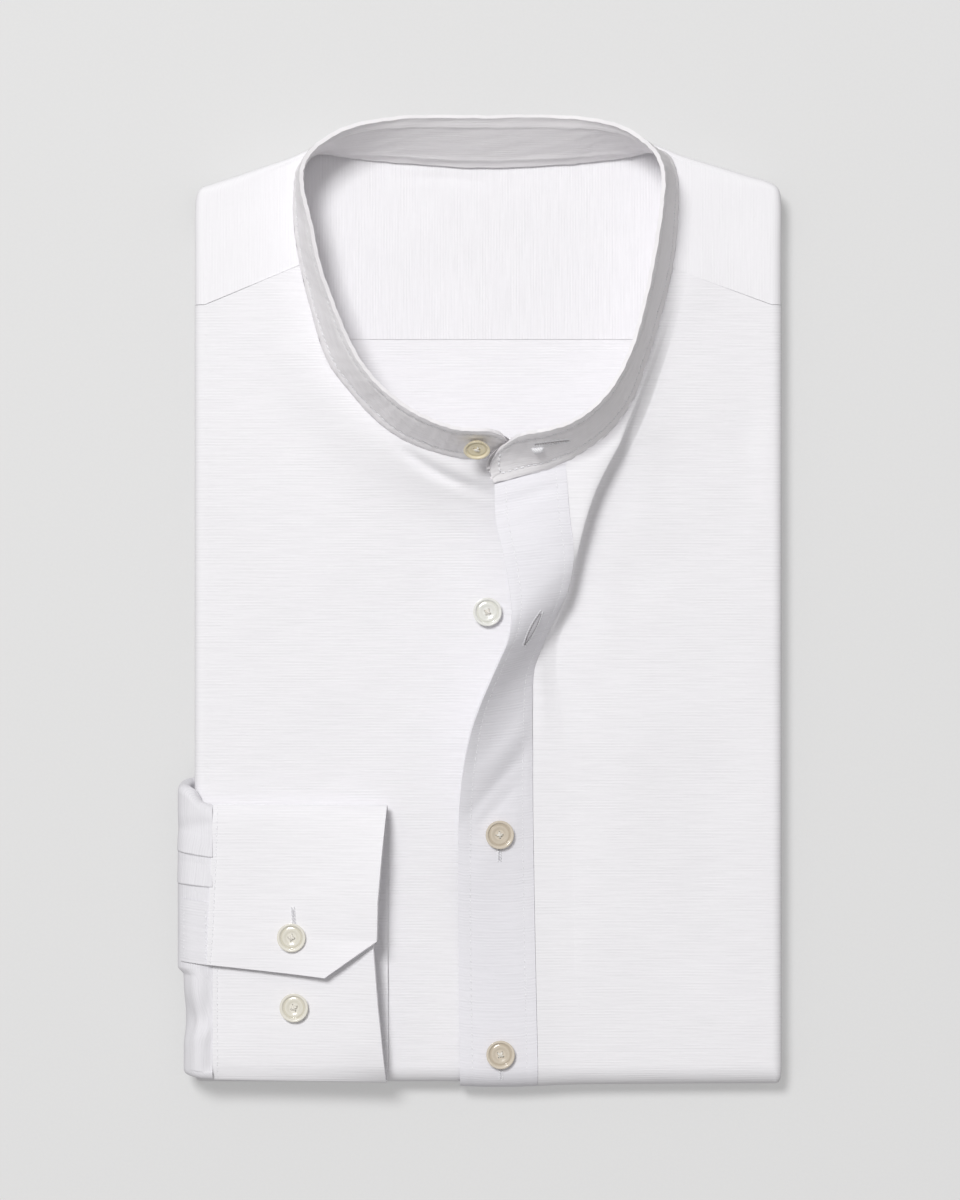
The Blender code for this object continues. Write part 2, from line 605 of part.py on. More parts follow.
def sleeve_strip(across, along):
    """Narrow placket lying on the sleeve beside the cuff."""
    x = mix(STRIP_LOW_X, STRIP_HIGH_X, across)
    y = mix(STRIP_FOOT_Y, STRIP_HEAD_Y, along) - STRIP_SLANT*across
    span = max(index for index, tube in enumerate(SLEEVE[:-1]) if tube.outer_x <= x)
    start, end = SLEEVE[span], SLEEVE[span + 1]
    height = mix(start.outer_z, end.outer_z, (x - start.outer_x)/(end.outer_x - start.outer_x))
    return (x, y, height + STRIP_LIFT)


def outline(layer):
    """Edge of the hidden layers at one height, as a closed loop with rounded corners."""
    left = LEFT_EDGE + layer.side
    right = RIGHT_EDGE - layer.side
    foot = FOOT_EDGE + layer.foot
    shoulder = SHOULDER_Y - layer.top
    neck = NECK_EDGE_Y - layer.top
    corners = (
        (left + layer.notch, foot),
        (right, foot),
        (right, shoulder),
        (RIGHT_SHOULDER_X, neck),
        (LEFT_SHOULDER_X, neck),
        (left, shoulder),
        (left, NOTCH_Y),
        (left + layer.notch, NOTCH_Y - NOTCH_SLOPE),
    )
    loop = []
    for index, corner in enumerate(corners):
        here = Vector(corner)
        start = here + (Vector(corners[index - 1]) - here).normalized()*CORNER_RADIUS
        end = here + (Vector(corners[(index + 1) % len(corners)]) - here).normalized()*CORNER_RADIUS
        for step in range(CORNER_STEPS + 1):
            share = step/CORNER_STEPS
            point = start.lerp(here, share).lerp(here.lerp(end, share), share)
            loop.append((point.x, point.y, layer.z))
    return loop


def add_hidden_layers():
    """One rounded solid for the layers folded out of sight, with the layers showing round its edge."""
    loops = [outline(layer) for layer in LAYERS]
    loops = [loop + loop[:1] for loop in loops]
    count = len(loops[0])
    piece = lay_grid(
        "folded_body",
        lambda around, level: loops[level][around],
        list(range(count)),
        list(range(len(loops))),
        INNER_COTTON,
        ring=True,
    )
    shape = bmesh.new()
    shape.from_mesh(piece.data)
    bmesh.ops.remove_doubles(shape, verts=shape.verts, dist=0.01*MM)
    bmesh.ops.holes_fill(shape, edges=[edge for edge in shape.edges if edge.is_boundary], sides=0)
    bmesh.ops.recalc_face_normals(shape, faces=shape.faces)
    shape.to_mesh(piece.data)
    shape.free()
    piece.data.set_sharp_from_angle(angle=math.radians(50.0))


def add_button(name, centre, tilt=0.0, lean=0.0, diameter=BUTTON_DIAMETER):
    """Button with a raised rim and a dished middle; its centre is the middle of its underside.

    It tilts about X and leans about Y.
    """
    mesh = bpy.data.meshes.new(name)
    corners = [
        (out*diameter/2.0*MM, 0.0, up*BUTTON_THICKNESS*MM) for out, up in BUTTON_PROFILE
    ]
    mesh.from_pydata(corners, [(index, index + 1) for index in range(len(corners) - 1)], [])
    piece = add_piece(name, mesh, CREAM_BUTTON)
    turn = piece.modifiers.new("turn", "SCREW")
    turn.steps = BUTTON_STEPS
    turn.render_steps = BUTTON_STEPS
    turn.use_merge_vertices = True
    turn.merge_threshold = 0.01*MM
    turn.use_smooth_shade = True
    piece.location = Vector(centre)*MM
    piece.rotation_euler = (tilt, lean, 0.0)


def clear_scene():
    """Empties the scene and makes the shirt's collection."""
    for item in list(bpy.data.objects):
        bpy.data.objects.remove(item, do_unlink=True)
    collection = bpy.data.collections.new("mandarin_collar_shirt")
    bpy.context.scene.collection.children.link(collection)


def build_body():
    """Hidden layers, back, yoke and both fronts."""
    add_hidden_layers()
    add_wall(lay_grid("back_panel", back_panel, stops((0, 1, 6)), stops((0, 1, 4)), INNER_COTTON), WALL)
    add_wall(lay_grid("yoke_lining", yoke_lining, stops((0, 1, 16)), stops((0, 1, 4)), INNER_COTTON), WALL)
    last = len(YOKE) - 1.5
    around = stops(
        (YOKE_END_GAP, 0.5, 1), (0.5, last, round(2*(last - 0.5))), (last, last + 0.5 - YOKE_END_GAP, 1),
    )
    add_wall(lay_grid("yoke", yoke, around, stops((0, 1, 3), (1, 2, 6)), WHITE_COTTON), WALL)
    right_rows = stops((-1, 0, 6), (0, 1, 2*(len(RIGHT_FRONT) - 1)))
    right_columns = stops((-1, 0, 5), (0, 1, 12))
    add_wall(lay_grid("front_right", right_front, right_columns, right_rows, WHITE_COTTON), WALL)
    left_rows = stops((-1, 0, 6), (0, 1, 2*(len(LEFT_FRONT) - 1)))
    left_columns = stops((0, 1, 15), (1, 2, 5))
    add_wall(lay_grid("front_left", left_front, left_columns, left_rows, WHITE_COTTON), WALL)


def build_neck_and_placket():
    """Front placket and collar band."""
    rows = stops((-1, 0, 6), (0, 1, 2*(len(PLACKET) - 1)))
    add_wall(lay_grid("front_placket", placket, stops((0, 1, 4)), rows, WHITE_COTTON), PLACKET_WALL)
    tip_start = 1.0 - 0.5/(len(BAND) - 1)
    around = stops((0, tip_start, 2*(len(BAND) - 1) - 1), (tip_start, 1, 3))
    add_wall(lay_grid("collar", collar, stops((0, 1, 3)), around, BAND_COTTON), BAND_WALL)


def build_sleeve():
    """Sleeve brought round the side fold, its placket and its cuff."""
    columns = stops((0, 1, 14))
    around = stops((0, 1, 32))
    add_wall(lay_grid("sleeve", sleeve, columns, around, WHITE_COTTON, ring=True), SLEEVE_WALL)
    strip = lay_grid("sleeve_placket", sleeve_strip, stops((0, 1, 5)), stops((0, 1, 4)), WHITE_COTTON)
    add_wall(strip, STRIP_WALL)
    rows = stops((0, 1, 2*(len(CUFF) - 1)))
    add_wall(lay_grid("cuff", cuff, stops((0, 1, 7)), rows, WHITE_COTTON), CUFF_WALL)


def build_buttons():
    """Buttons, each just clear of the cloth that it is sewn to."""
    add_button("button_front_1", (2.9, -2.3, FRONT_TOP + 0.9))
    add_button("button_front_2", (7.4, -88.9, 20.9), lean=FRONT_LEAN)
    add_button("button_front_3", (8.0, -174.6, 19.2))
    add_button("button_cuff_1", (-73.0, -128.5, 26.3), lean=CUFF_LEAN)
    add_button("button_cuff_2", (-72.1, -155.9, 23.8), lean=CUFF_LEAN)
    add_button("button_collar", (-1.2, 60.4, 40.4), tilt=COLLAR_TILT, diameter=COLLAR_BUTTON_DIAMETER)


def main():
    """Builds the folded shirt."""
    clear_scene()
    build_body()
    build_neck_and_placket()
    build_sleeve()
    build_buttons()


main()
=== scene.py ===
"""Dressed scene of a folded mandarin collar shirt: cloth, sewing, buttons, floor, light and camera.

Tables are in millimetres, in the shirt's own frame: +X to the wearer's left, +Y to the collar, +Z up.
Each cloth piece is a fine grid laid on a surface worked out from a short table, creased, and given a
thin wall. Sewing is laid on the same surfaces.
"""
import logging
import math
from collections.abc import Callable, Iterator
from contextlib import contextmanager
from dataclasses import dataclass, field
from enum import Enum
from typing import ClassVar

import bpy
import numpy as np
from mathutils import Matrix, Vector

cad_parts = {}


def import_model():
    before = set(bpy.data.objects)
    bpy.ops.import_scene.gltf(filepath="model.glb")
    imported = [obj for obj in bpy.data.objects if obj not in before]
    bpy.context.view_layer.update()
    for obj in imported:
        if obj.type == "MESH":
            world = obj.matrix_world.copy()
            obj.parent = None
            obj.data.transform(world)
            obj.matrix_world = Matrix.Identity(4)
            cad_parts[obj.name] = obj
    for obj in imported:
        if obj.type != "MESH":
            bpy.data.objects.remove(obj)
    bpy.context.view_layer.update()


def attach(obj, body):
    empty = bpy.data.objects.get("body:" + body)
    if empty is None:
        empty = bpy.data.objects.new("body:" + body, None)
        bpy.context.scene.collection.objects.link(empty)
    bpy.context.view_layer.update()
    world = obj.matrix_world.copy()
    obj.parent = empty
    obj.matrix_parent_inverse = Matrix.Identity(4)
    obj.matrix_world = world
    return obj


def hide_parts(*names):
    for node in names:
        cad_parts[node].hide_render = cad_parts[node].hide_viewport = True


Array = np.ndarray
Arrays = tuple[Array, Array]
Pair, Floats, Names = tuple[float, float], tuple[float, ...], tuple[str, ...]

LOG = logging.getLogger("shirt")
FLAT_NOISE = {"noise_dimensions": "2D"}

MM = 0.001
# Smallest length or share that anything is divided by, and the smallest span between two stations
TINY, SHORTEST_SPAN = 1e-9, 0.01
# Points closer than this are one
MERGE = 0.01*MM
# Between two pieces at a seam, across and in height
SEAM_GAP, SEAM_SINK = 0.1, 0.2
# Where the fronts start to turn over the side folds and the foot fold, and their height inside them
LEFT_TURN, RIGHT_TURN, FOOT_TURN = -107.4, 113.8, -179.0
FRONT_TOP = 16.3
# Heights that the folds turn down to: at the sides, at the foot, and at the foot of the front below
LIP_FLOOR, FOOT_FLOOR, UNDER_FLOOR = 8.1, 0.5, 2.2
# How far a fold turns, and how its turn is shared out and eased at a corner
FOLD_ANGLE = math.radians(165.0)
CORNER_POWER, CORNER_EASE = 4.0, 0.3
# Pressed cloth lies calm this close to a fold
FOLD_CALM = 12.0
# Inner edge of the right front, under the placket
UNDER_PLACKET = 19.0
# Waves of pressed cloth: turns across and along in one pitch, and phase
WAVES = ((1.0, 0.3, 0.5), (0.6, -0.9, 2.1), (-0.35, 1.25, 4.0), (1.7, 0.8, 1.2), (-1.4, 1.9, 5.3))

# Collar band stations from the button end, round the neck, to the buttonhole end: seam, then rim
BAND = np.array((
    (10.9, 57.5, 25.5, 11.6, 67.6, 51.8), (-5.8, 57.1, 25.3, -6.1, 67.1, 51.5),
    (-15.5, 59.2, 25.0, -15.3, 69.3, 51.1), (-27.2, 63.3, 24.3, -25.3, 73.9, 50.1),
    (-38.8, 70.7, 23.3, -34.1, 80.0, 49.3), (-50.5, 83.2, 22.0, -42.5, 88.1, 48.4),
    (-59.5, 95.7, 20.8, -49.5, 98.6, 46.8), (-65.8, 115.2, 19.3, -56.4, 114.3, 45.7),
    (-70.1, 132.9, 18.2, -62.2, 130.5, 45.0), (-72.5, 148.5, 17.6, -66.0, 148.2, 44.8),
    (-72.5, 162.2, 17.2, -69.0, 161.0, 44.9), (-71.0, 170.8, 17.0, -68.4, 170.2, 44.8),
    (-63.8, 177.2, 16.6, -62.4, 178.0, 44.5), (-50.7, 175.8, 16.0, -50.2, 184.8, 42.9),
    (-31.2, 173.9, 15.6, -30.2, 188.6, 39.9), (2.0, 171.9, 15.5, 1.9, 189.1, 38.1),
    (35.1, 173.5, 15.6, 34.2, 188.8, 39.6), (55.4, 175.8, 16.0, 53.2, 185.3, 42.4),
    (67.4, 178.0, 16.6, 63.4, 179.2, 44.2), (73.9, 175.4, 17.0, 68.7, 173.3, 44.6),
    (76.9, 167.4, 17.4, 71.0, 165.4, 44.8), (77.2, 152.4, 17.8, 70.0, 150.9, 44.8),
    (74.8, 131.6, 18.8, 66.7, 130.5, 45.6), (70.8, 114.4, 20.5, 62.7, 112.7, 47.2),
    (66.0, 98.7, 23.5, 58.1, 97.6, 50.3), (59.7, 81.2, 28.0, 51.1, 84.2, 54.5),
    (51.1, 68.4, 30.0, 43.5, 75.6, 56.1), (40.6, 60.2, 31.0, 35.1, 69.9, 57.0),
    (30.2, 54.4, 31.6, 25.9, 66.9, 56.2), (19.3, 51.2, 31.0, 17.9, 65.6, 53.2),
    (5.4, 47.8, 28.4, 8.3, 63.2, 46.0),
))
BAND_LENGTH = 430.0
TIP_ROUND = 10.5
LAST_BAND = len(BAND) - 1


def through(stations: Array, places: Array) -> Array:
    """Points on the smooth line through stations.

    Args:
        stations: array (..., stations, fields); the first three fields set the spacing.
        places: places along it, 0 at the first station and 1 more at each.

    Returns:
        Array (..., places, fields).
    """
    stations = np.asarray(stations, float)
    places = np.asarray(places, float)
    last = stations.shape[-2] - 1
    span = np.clip(np.floor(places).astype(int), 0, last - 1)
    share = (places - span)[:, None]
    before, start, end, after = (
        stations[..., np.clip(span + step, 0, last), :] for step in (-1, 0, 1, 2)
    )
    length, lead, tail = (
        np.linalg.norm((high - low)[..., :3], axis=-1, keepdims=True)
        for low, high in ((start, end), (before, start), (end, after))
    )
    length = np.maximum(length, SHORTEST_SPAN)
    leave = (end - before)*length/(lead + length)
    arrive = (after - start)*length/(length + tail)
    return (
        (2*share**3 - 3*share**2 + 1)*start + (share**3 - 2*share**2 + share)*leave
        + (3*share**2 - 2*share**3)*end + (share**3 - share**2)*arrive
    )


def unit(vectors: Array) -> Array:
    """Vectors in the last axis of an array, brought to a length of 1."""
    return vectors/np.maximum(np.linalg.norm(vectors, axis=-1, keepdims=True), TINY)


def ease(share: Array) -> Array:
    """Share from 0 to 1 with soft ends."""
    share = np.clip(share, 0.0, 1.0)
    return share*share*(3.0 - 2.0*share)


def outward(stations: Array, places: Array, step: float = 0.1) -> Array:
    """Level directions away from the neck at places along a line that runs round it.

    Args:
        stations: the line's stations.
        places: places along it.
        step: how far to either side of each place the line's own direction is taken.

    Returns:
        Array (places, 2) of unit directions.
    """
    ahead = through(stations, np.minimum(places + step, len(stations) - 1.0))
    behind = through(stations, np.maximum(places - step, 0.0))
    return unit(np.stack((behind[:, 1] - ahead[:, 1], ahead[:, 0] - behind[:, 0]), axis=1))


def neck_seam(places: Array) -> Array:
    """Points just outside the band's seam at places along it."""
    seam = through(BAND, places)[:, :3]
    seam[:, :2] += outward(BAND, places)*SEAM_GAP
    seam[:, 2] -= SEAM_SINK
    return seam


def turn_over(points: Array, side: float, side_turn: Array, foot_turn: Array,
              floor: float = FOOT_FLOOR) -> Array:
    """Moves points that are past the top of a fold round it.

    Args:
        points: array (rows, columns, 3), each at the top line of its fold.
        side: -1 or 1, the edge that the side turn goes over.
        side_turn: share of the side fold, 0 at its top line and 1 at its low edge.
        foot_turn: the same for the fold at the foot.
        floor: height that the foot fold turns down to.

    Returns:
        The moved points.
    """
    side_turn, foot_turn = np.broadcast_arrays(side_turn, foot_turn)
    turn = np.maximum(np.maximum(side_turn, foot_turn), TINY)
    side_share, foot_share = side_turn/turn, foot_turn/turn
    norm = np.maximum((side_share**CORNER_POWER + foot_share**CORNER_POWER)**(1.0/CORNER_POWER), TINY)
    foot_weight = foot_share**2/np.maximum(side_share**2 + foot_share**2, TINY)
    x, y, z = points[..., 0], points[..., 1], points[..., 2]
    side_radius, foot_radius = (z - LIP_FLOOR)/2.0, (z - floor)/2.0
    angle = turn*FOLD_ANGLE*(1.0 - CORNER_EASE*np.minimum(side_share, foot_share))
    drop = (side_radius + (foot_radius - side_radius)*foot_weight)*(1.0 - np.cos(angle))
    return np.stack((
        x + side*side_radius*np.sin(angle)*side_share/norm,
        y - foot_radius*np.sin(angle)*foot_share/norm,
        z - drop,
    ), axis=-1)


@dataclass(frozen=True)
class Crease:
    """Soft trough or ridge laid in a cloth, in millimetres on the plan.

    lift is its height (below 0 for a trough), width how far it spreads, and bow how far its middle is
    pushed sideways. It fades towards its ends, sooner with a higher fade, and end_share keeps a little
    of it at the very ends.
    """

    start: Pair
    end: Pair
    lift: float
    width: float
    bow: float = 0.0
    fade: float = 0.6
    end_share: float = 0.02

    def at(self, x: Array, y: Array) -> Array:
        """Height that the crease adds at points of the plan."""
        start, end = np.array(self.start), np.array(self.end)
        run = end - start
        length = np.linalg.norm(run)
        run = run/length
        along = ((x - start[0])*run[0] + (y - start[1])*run[1])/length
        off = -(x - start[0])*run[1] + (y - start[1])*run[0]
        inside = np.clip(along, 0.0, 1.0)
        off = off - self.bow*np.sin(np.pi*inside)
        past = np.maximum(np.abs(along - 0.5) - 0.5, 0.0)*length
        faded = np.sin(np.pi*np.clip(inside, self.end_share, 1.0 - self.end_share))**self.fade
        return self.lift*faded*np.exp(-(off/self.width)**2 - (past/self.width)**2)


def rumple(x: Array, y: Array, height: float, pitch: float, turn: float = 0.0) -> Array:
    """Low uneven waves of pressed cloth, a fixed sum of crossing sines.

    Args:
        x: places across, in millimetres.
        y: places along, in millimetres.
        height: half the height of the waves.
        pitch: rough distance between them.
        turn: shifts the pattern, so that two pieces differ.

    Returns:
        Height to add at each place.
    """
    total = np.zeros_like(x)
    for index, (across, along, phase) in enumerate(WAVES):
        total += np.sin(2.0*np.pi*(across*x + along*y)/pitch + phase + turn)/(1.0 + 0.5*index)
    return height*total/(len(WAVES)/2.0)


def linear(colour: str) -> tuple[float, float, float, float]:
    """Linear colour with alpha from an sRGB hex value."""
    values = (int(colour[index:index + 2], 16)/255.0 for index in (1, 3, 5))
    return (*(v/12.92 if v <= 0.04045 else ((v + 0.055)/1.055)**2.4 for v in values), 1.0)


def add_node(tree: bpy.types.NodeTree, kind: str, settings: dict | None = None,
             **links) -> bpy.types.Node:
    """Adds a shader node.

    Args:
        tree: node tree that it goes into.
        kind: type of the node, without the words ShaderNode.
        settings: its attributes by name.
        **links: its inputs by name, each a value or an output socket; an underscore stands for a space.

    Returns:
        The new node.
    """
    node = tree.nodes.new("ShaderNode" + kind)
    for name, value in (settings or {}).items():
        setattr(node, name, value)
    for name, value in links.items():
        key = int(name[1:]) if name[0] == "i" and name[1:].isdigit() else name.replace("_", " ")
        if isinstance(value, bpy.types.NodeSocket):
            tree.links.new(value, node.inputs[key])
        else:
            node.inputs[key].default_value = value
    return node


def set_inputs(node: bpy.types.Node, values: dict[str, float | tuple]) -> None:
    """Sets a node's inputs by name."""
    for name, value in values.items():
        node.inputs[name].default_value = value


@dataclass(frozen=True)
class Finish:
    """Finish of a piece, named for what the real one is made of."""

    name: str

    def material(self) -> bpy.types.Material:
        """The finish's material, made once."""
        material = bpy.data.materials.get(self.name)
        if material is None:
            material = bpy.data.materials.new(self.name)
            material.use_nodes = True
            tree = material.node_tree
            self.dress(tree, tree.nodes["Principled BSDF"])
        return material

    def dress(self, tree: bpy.types.NodeTree, shader: bpy.types.Node) -> None:
        """Adds the finish's pattern to its node tree and sets its shader."""
        raise NotImplementedError


class Lie(Enum):
    """Way that the slub ribs of a cloth run on its piece."""

    ACROSS = "across"
    UP = "up"


@dataclass(frozen=True)
class SlubCotton(Finish):
    """White cotton poplin with an uneven slub thread, pressed; matt, with fine straight broken ribs.

    The ribs are 1.1 mm apart, drawn at their real size, and each slub is about 16 mm long. The thread's
    own grain is 0.3 mm across, and faint clouds, 22 to the metre, lie over it all. slub_share,
    grain_share and cloud_share say how much each counts beside the ribs.
    """

    name: str = "slub_cotton"
    pale: str = "#F5F4F7"
    deep: str = "#EBEAED"
    lie: Lie = Lie.ACROSS
    rib: float = 1.1
    slub: float = 16.0
    thread: float = 0.3
    rib_depth: float = 0.035
    cloud_scale: float = 22.0
    slub_share: float = 0.3
    grain_share: float = 0.5
    cloud_share: float = 0.6
    roughness: float = 0.9

    def stretched(self, tree: bpy.types.NodeTree, cloth: bpy.types.NodeSocket, along: float,
                  across: float) -> bpy.types.NodeSocket:
        """Cloth places scaled to units of along millimetres with the ribs and across the other way."""
        scale = (1.0/(along*MM), 1.0/(across*MM), 1.0)
        if self.lie is Lie.UP:
            scale = (scale[1], scale[0], 1.0)
        return add_node(tree, "Mapping", Vector=cloth, Scale=scale).outputs[0]

    def ribs(self, tree: bpy.types.NodeTree, cloth: bpy.types.NodeSocket) -> bpy.types.NodeSocket:
        """Straight ribs about 0, broken where their thread runs thin."""
        direction = "Y" if self.lie is Lie.ACROSS else "X"
        ribs = add_node(tree, "TexWave", {"bands_direction": direction}, Vector=cloth,
                        Scale=2.0*math.pi/(20.0*self.rib*MM))
        patches = add_node(tree, "TexNoise", FLAT_NOISE, Scale=1.0, Detail=1.0,
                           Vector=self.stretched(tree, cloth, 1.2*self.slub, 3.0*self.rib))
        broken = add_node(tree, "MapRange", Value=patches.outputs["Fac"], From_Min=0.42, From_Max=0.6)
        centred = add_node(tree, "Math", {"operation": "SUBTRACT"}, i0=ribs.outputs["Fac"], i1=0.5)
        return add_node(tree, "Math", {"operation": "MULTIPLY"}, i0=centred.outputs[0],
                        i1=broken.outputs[0]).outputs[0]

    def weave(self, tree: bpy.types.NodeTree, cloth: bpy.types.NodeSocket) -> bpy.types.NodeSocket:
        """Height of the weave: ribs, slubs and the thread's own grain."""
        slubs = add_node(tree, "TexNoise", FLAT_NOISE, Scale=1.0, Detail=1.0, Roughness=0.5,
                         Vector=self.stretched(tree, cloth, self.slub, 0.8*self.rib))
        slub = add_node(tree, "MapRange", Value=slubs.outputs["Fac"], From_Min=0.3, From_Max=0.7,
                        To_Min=-self.slub_share, To_Max=self.slub_share)
        uneven = add_node(tree, "Math", {"operation": "ADD"}, i0=self.ribs(tree, cloth),
                          i1=slub.outputs[0])
        grain = add_node(tree, "TexNoise", FLAT_NOISE, Scale=1.0, Detail=0.0,
                         Vector=self.stretched(tree, cloth, 8.0*self.thread, self.thread))
        return add_node(tree, "Math", {"operation": "MULTIPLY_ADD"}, i0=grain.outputs["Fac"],
                        i1=self.grain_share, i2=uneven.outputs[0]).outputs[0]

    def dress(self, tree: bpy.types.NodeTree, shader: bpy.types.Node) -> None:
        """Adds the weave, tints it pale to deep and sets the matt shader."""
        cloth = add_node(tree, "UVMap", {"uv_map": "cloth"}).outputs["UV"]
        weave = self.weave(tree, cloth)
        clouds = add_node(tree, "TexNoise", FLAT_NOISE, Vector=cloth, Detail=2.0,
                          Scale=self.cloud_scale)
        cloudy = add_node(tree, "Math", {"operation": "MULTIPLY_ADD"}, i0=clouds.outputs["Fac"],
                          i1=self.cloud_share, i2=weave)
        tint = add_node(tree, "MapRange", Value=cloudy.outputs[0], From_Min=-0.3, From_Max=1.4)
        colour = add_node(tree, "MixRGB", Fac=tint.outputs[0], Color1=linear(self.deep),
                          Color2=linear(self.pale))
        tree.links.new(colour.outputs[0], shader.inputs["Base Color"])
        bump = add_node(tree, "Bump", Height=weave, Distance=self.rib_depth*MM, Strength=1.0)
        tree.links.new(bump.outputs[0], shader.inputs["Normal"])
        set_inputs(shader, {"Roughness": self.roughness, "IOR": 1.45, "Specular IOR Level": 0.2,
                            "Sheen Weight": 0.06, "Sheen Roughness": 0.5})


@dataclass(frozen=True)
class Thread(Finish):
    """Spun polyester sewing thread, three ply; slightly brighter than the cloth."""

    name: str = "sewing_thread"
    colour: str = "#FAFAFC"
    dark: str = "#E2E2E6"
    ply: float = 0.35
    ply_depth: float = 0.05

    def dress(self, tree: bpy.types.NodeTree, shader: bpy.types.Node) -> None:
        """Adds the twist of the plies and sets the shader."""
        place = add_node(tree, "TexCoord").outputs["Object"]
        twist = add_node(tree, "TexWave", {"bands_direction": "DIAGONAL"}, Vector=place,
                         Scale=1.0/(self.ply*MM)/6.0, Distortion=1.0)
        colour = add_node(tree, "MixRGB", Fac=twist.outputs["Fac"], Color1=linear(self.dark),
                          Color2=linear(self.colour))
        tree.links.new(colour.outputs[0], shader.inputs["Base Color"])
        bump = add_node(tree, "Bump", Height=twist.outputs["Fac"], Distance=self.ply_depth*MM)
        tree.links.new(bump.outputs[0], shader.inputs["Normal"])
        set_inputs(shader, {"Roughness": 0.6})


@dataclass(frozen=True)
class PearlResin(Finish):
    """Cast polyester resin with a pearl filler, tumbled: clouded and glossy, with darker rings.

    The ring tones go by the distance from the button's middle, which its map "disc" holds as a share.
    They are partly the resin's own rings and partly painted shade: in the dish, in the groove under the
    rim and at the outer edge.
    """

    pale: str
    deep: str
    ring: str
    roughness: float = 0.18
    ring_shade_share: float = 0.8
    # darkness of the ring colour by share of the radius: painted shade in the dish, the groove under the
    # rim and at the outer edge
    tones: tuple[Pair, ...] = (
        (0.0, 0.0), (0.3, 0.0), (0.4, 0.6), (0.6, 0.3), (0.66, 0.9), (0.74, 1.0), (0.82, 0.0),
        (0.94, 0.2), (1.0, 1.0),
    )

    def dress(self, tree: bpy.types.NodeTree, shader: bpy.types.Node) -> None:
        """Adds the rings, partly painted shade, and the clouds of filler and sets the glossy shader."""
        disc = add_node(tree, "UVMap", {"uv_map": "disc"}).outputs["UV"]
        out = add_node(tree, "SeparateXYZ", Vector=disc).outputs["X"]
        rings = add_node(tree, "ValToRGB", Fac=out)
        stops = rings.color_ramp.elements
        while len(stops) < len(self.tones):
            stops.new(0.5)
        for stop, (place, tone) in zip(stops, self.tones):
            stop.position = place
            stop.color = (tone, tone, tone, 1.0)
        stretched = add_node(tree, "Mapping", Vector=disc, Scale=(3.2, 5.0, 1.0))
        cloud = add_node(tree, "TexNoise", FLAT_NOISE, Vector=stretched.outputs[0], Scale=1.6,
                         Detail=3.0, Roughness=0.6, Distortion=0.8)
        body = add_node(tree, "MixRGB", Fac=cloud.outputs["Fac"], Color1=linear(self.deep),
                        Color2=linear(self.pale))
        share = add_node(tree, "Math", {"operation": "MULTIPLY"}, i0=rings.outputs["Color"],
                         i1=self.ring_shade_share)
        colour = add_node(tree, "MixRGB", Fac=share.outputs[0], Color1=body.outputs[0],
                          Color2=linear(self.ring))
        tree.links.new(colour.outputs[0], shader.inputs["Base Color"])
        set_inputs(shader, {"Roughness": self.roughness, "IOR": 1.55, "Coat Weight": 0.5,
                            "Coat Roughness": 0.08})


# pale, deep, and the ring colour that the painted shade of the rings mixes towards
WHITE_RESIN = PearlResin("pearl_resin_white", "#F3F3EF", "#E6E6DF", "#D6D6CB")
IVORY_RESIN = PearlResin("pearl_resin_ivory", "#F1EFE8", "#E6E1D3", "#CFCAB8")
CREAM_RESIN = PearlResin("pearl_resin_cream", "#F4EBD2", "#EADFBF", "#D8CBA4")
BEIGE_RESIN = PearlResin("pearl_resin_beige", "#E2D8C9", "#D3C8B6", "#B9AC98")


def deselect() -> None:
    """Clears the selection, which holds the frame's nodes after loading."""
    if bpy.context.view_layer.objects.active:
        bpy.context.view_layer.objects.active.select_set(False)
    for item in list(bpy.context.selected_objects):
        item.select_set(False)


def select(item: bpy.types.Object) -> None:
    """Makes an object the only one selected, and the active one."""
    deselect()
    bpy.context.view_layer.objects.active = item
    item.select_set(True)


@contextmanager
def editing(item: bpy.types.Object) -> Iterator[None]:
    """Edit mode on one object, all of it selected, for the length of a with block."""
    select(item)
    bpy.ops.object.mode_set(mode="EDIT")
    bpy.ops.mesh.select_all(action="SELECT")
    yield
    bpy.ops.object.mode_set(mode="OBJECT")
    item.select_set(False)


def place_in_mesh(item: bpy.types.Object) -> None:
    """Puts an object's place into its mesh, leaving the object at the origin."""
    item.data.transform(item.matrix_basis)
    item.matrix_basis = Matrix.Identity(4)


def apply_all(item: bpy.types.Object) -> None:
    """Applies an object's modifiers in order."""
    select(item)
    for modifier in list(item.modifiers):
        bpy.ops.object.modifier_apply(modifier=modifier.name)
    item.select_set(False)


def add_object(name: str, mesh: bpy.types.Mesh) -> bpy.types.Object:
    """Adds an object for a mesh to the scene."""
    item = bpy.data.objects.new(name, mesh)
    bpy.context.scene.collection.objects.link(item)
    return item


def shade(mesh: bpy.types.Mesh, sharp_from: float) -> None:
    """Shades a mesh smooth, but for the edges that turn by more than an angle in degrees."""
    mesh.shade_smooth()
    mesh.set_sharp_from_angle(angle=math.radians(sharp_from))


def lengths(points: Array, axis: int) -> Array:
    """Distance travelled over a grid of points along one of its two axes."""
    steps = np.linalg.norm(np.diff(points, axis=axis), axis=-1)
    pad = [(0, 0), (0, 0)]
    pad[axis] = (1, 0)
    return np.cumsum(np.pad(steps, pad), axis=axis)


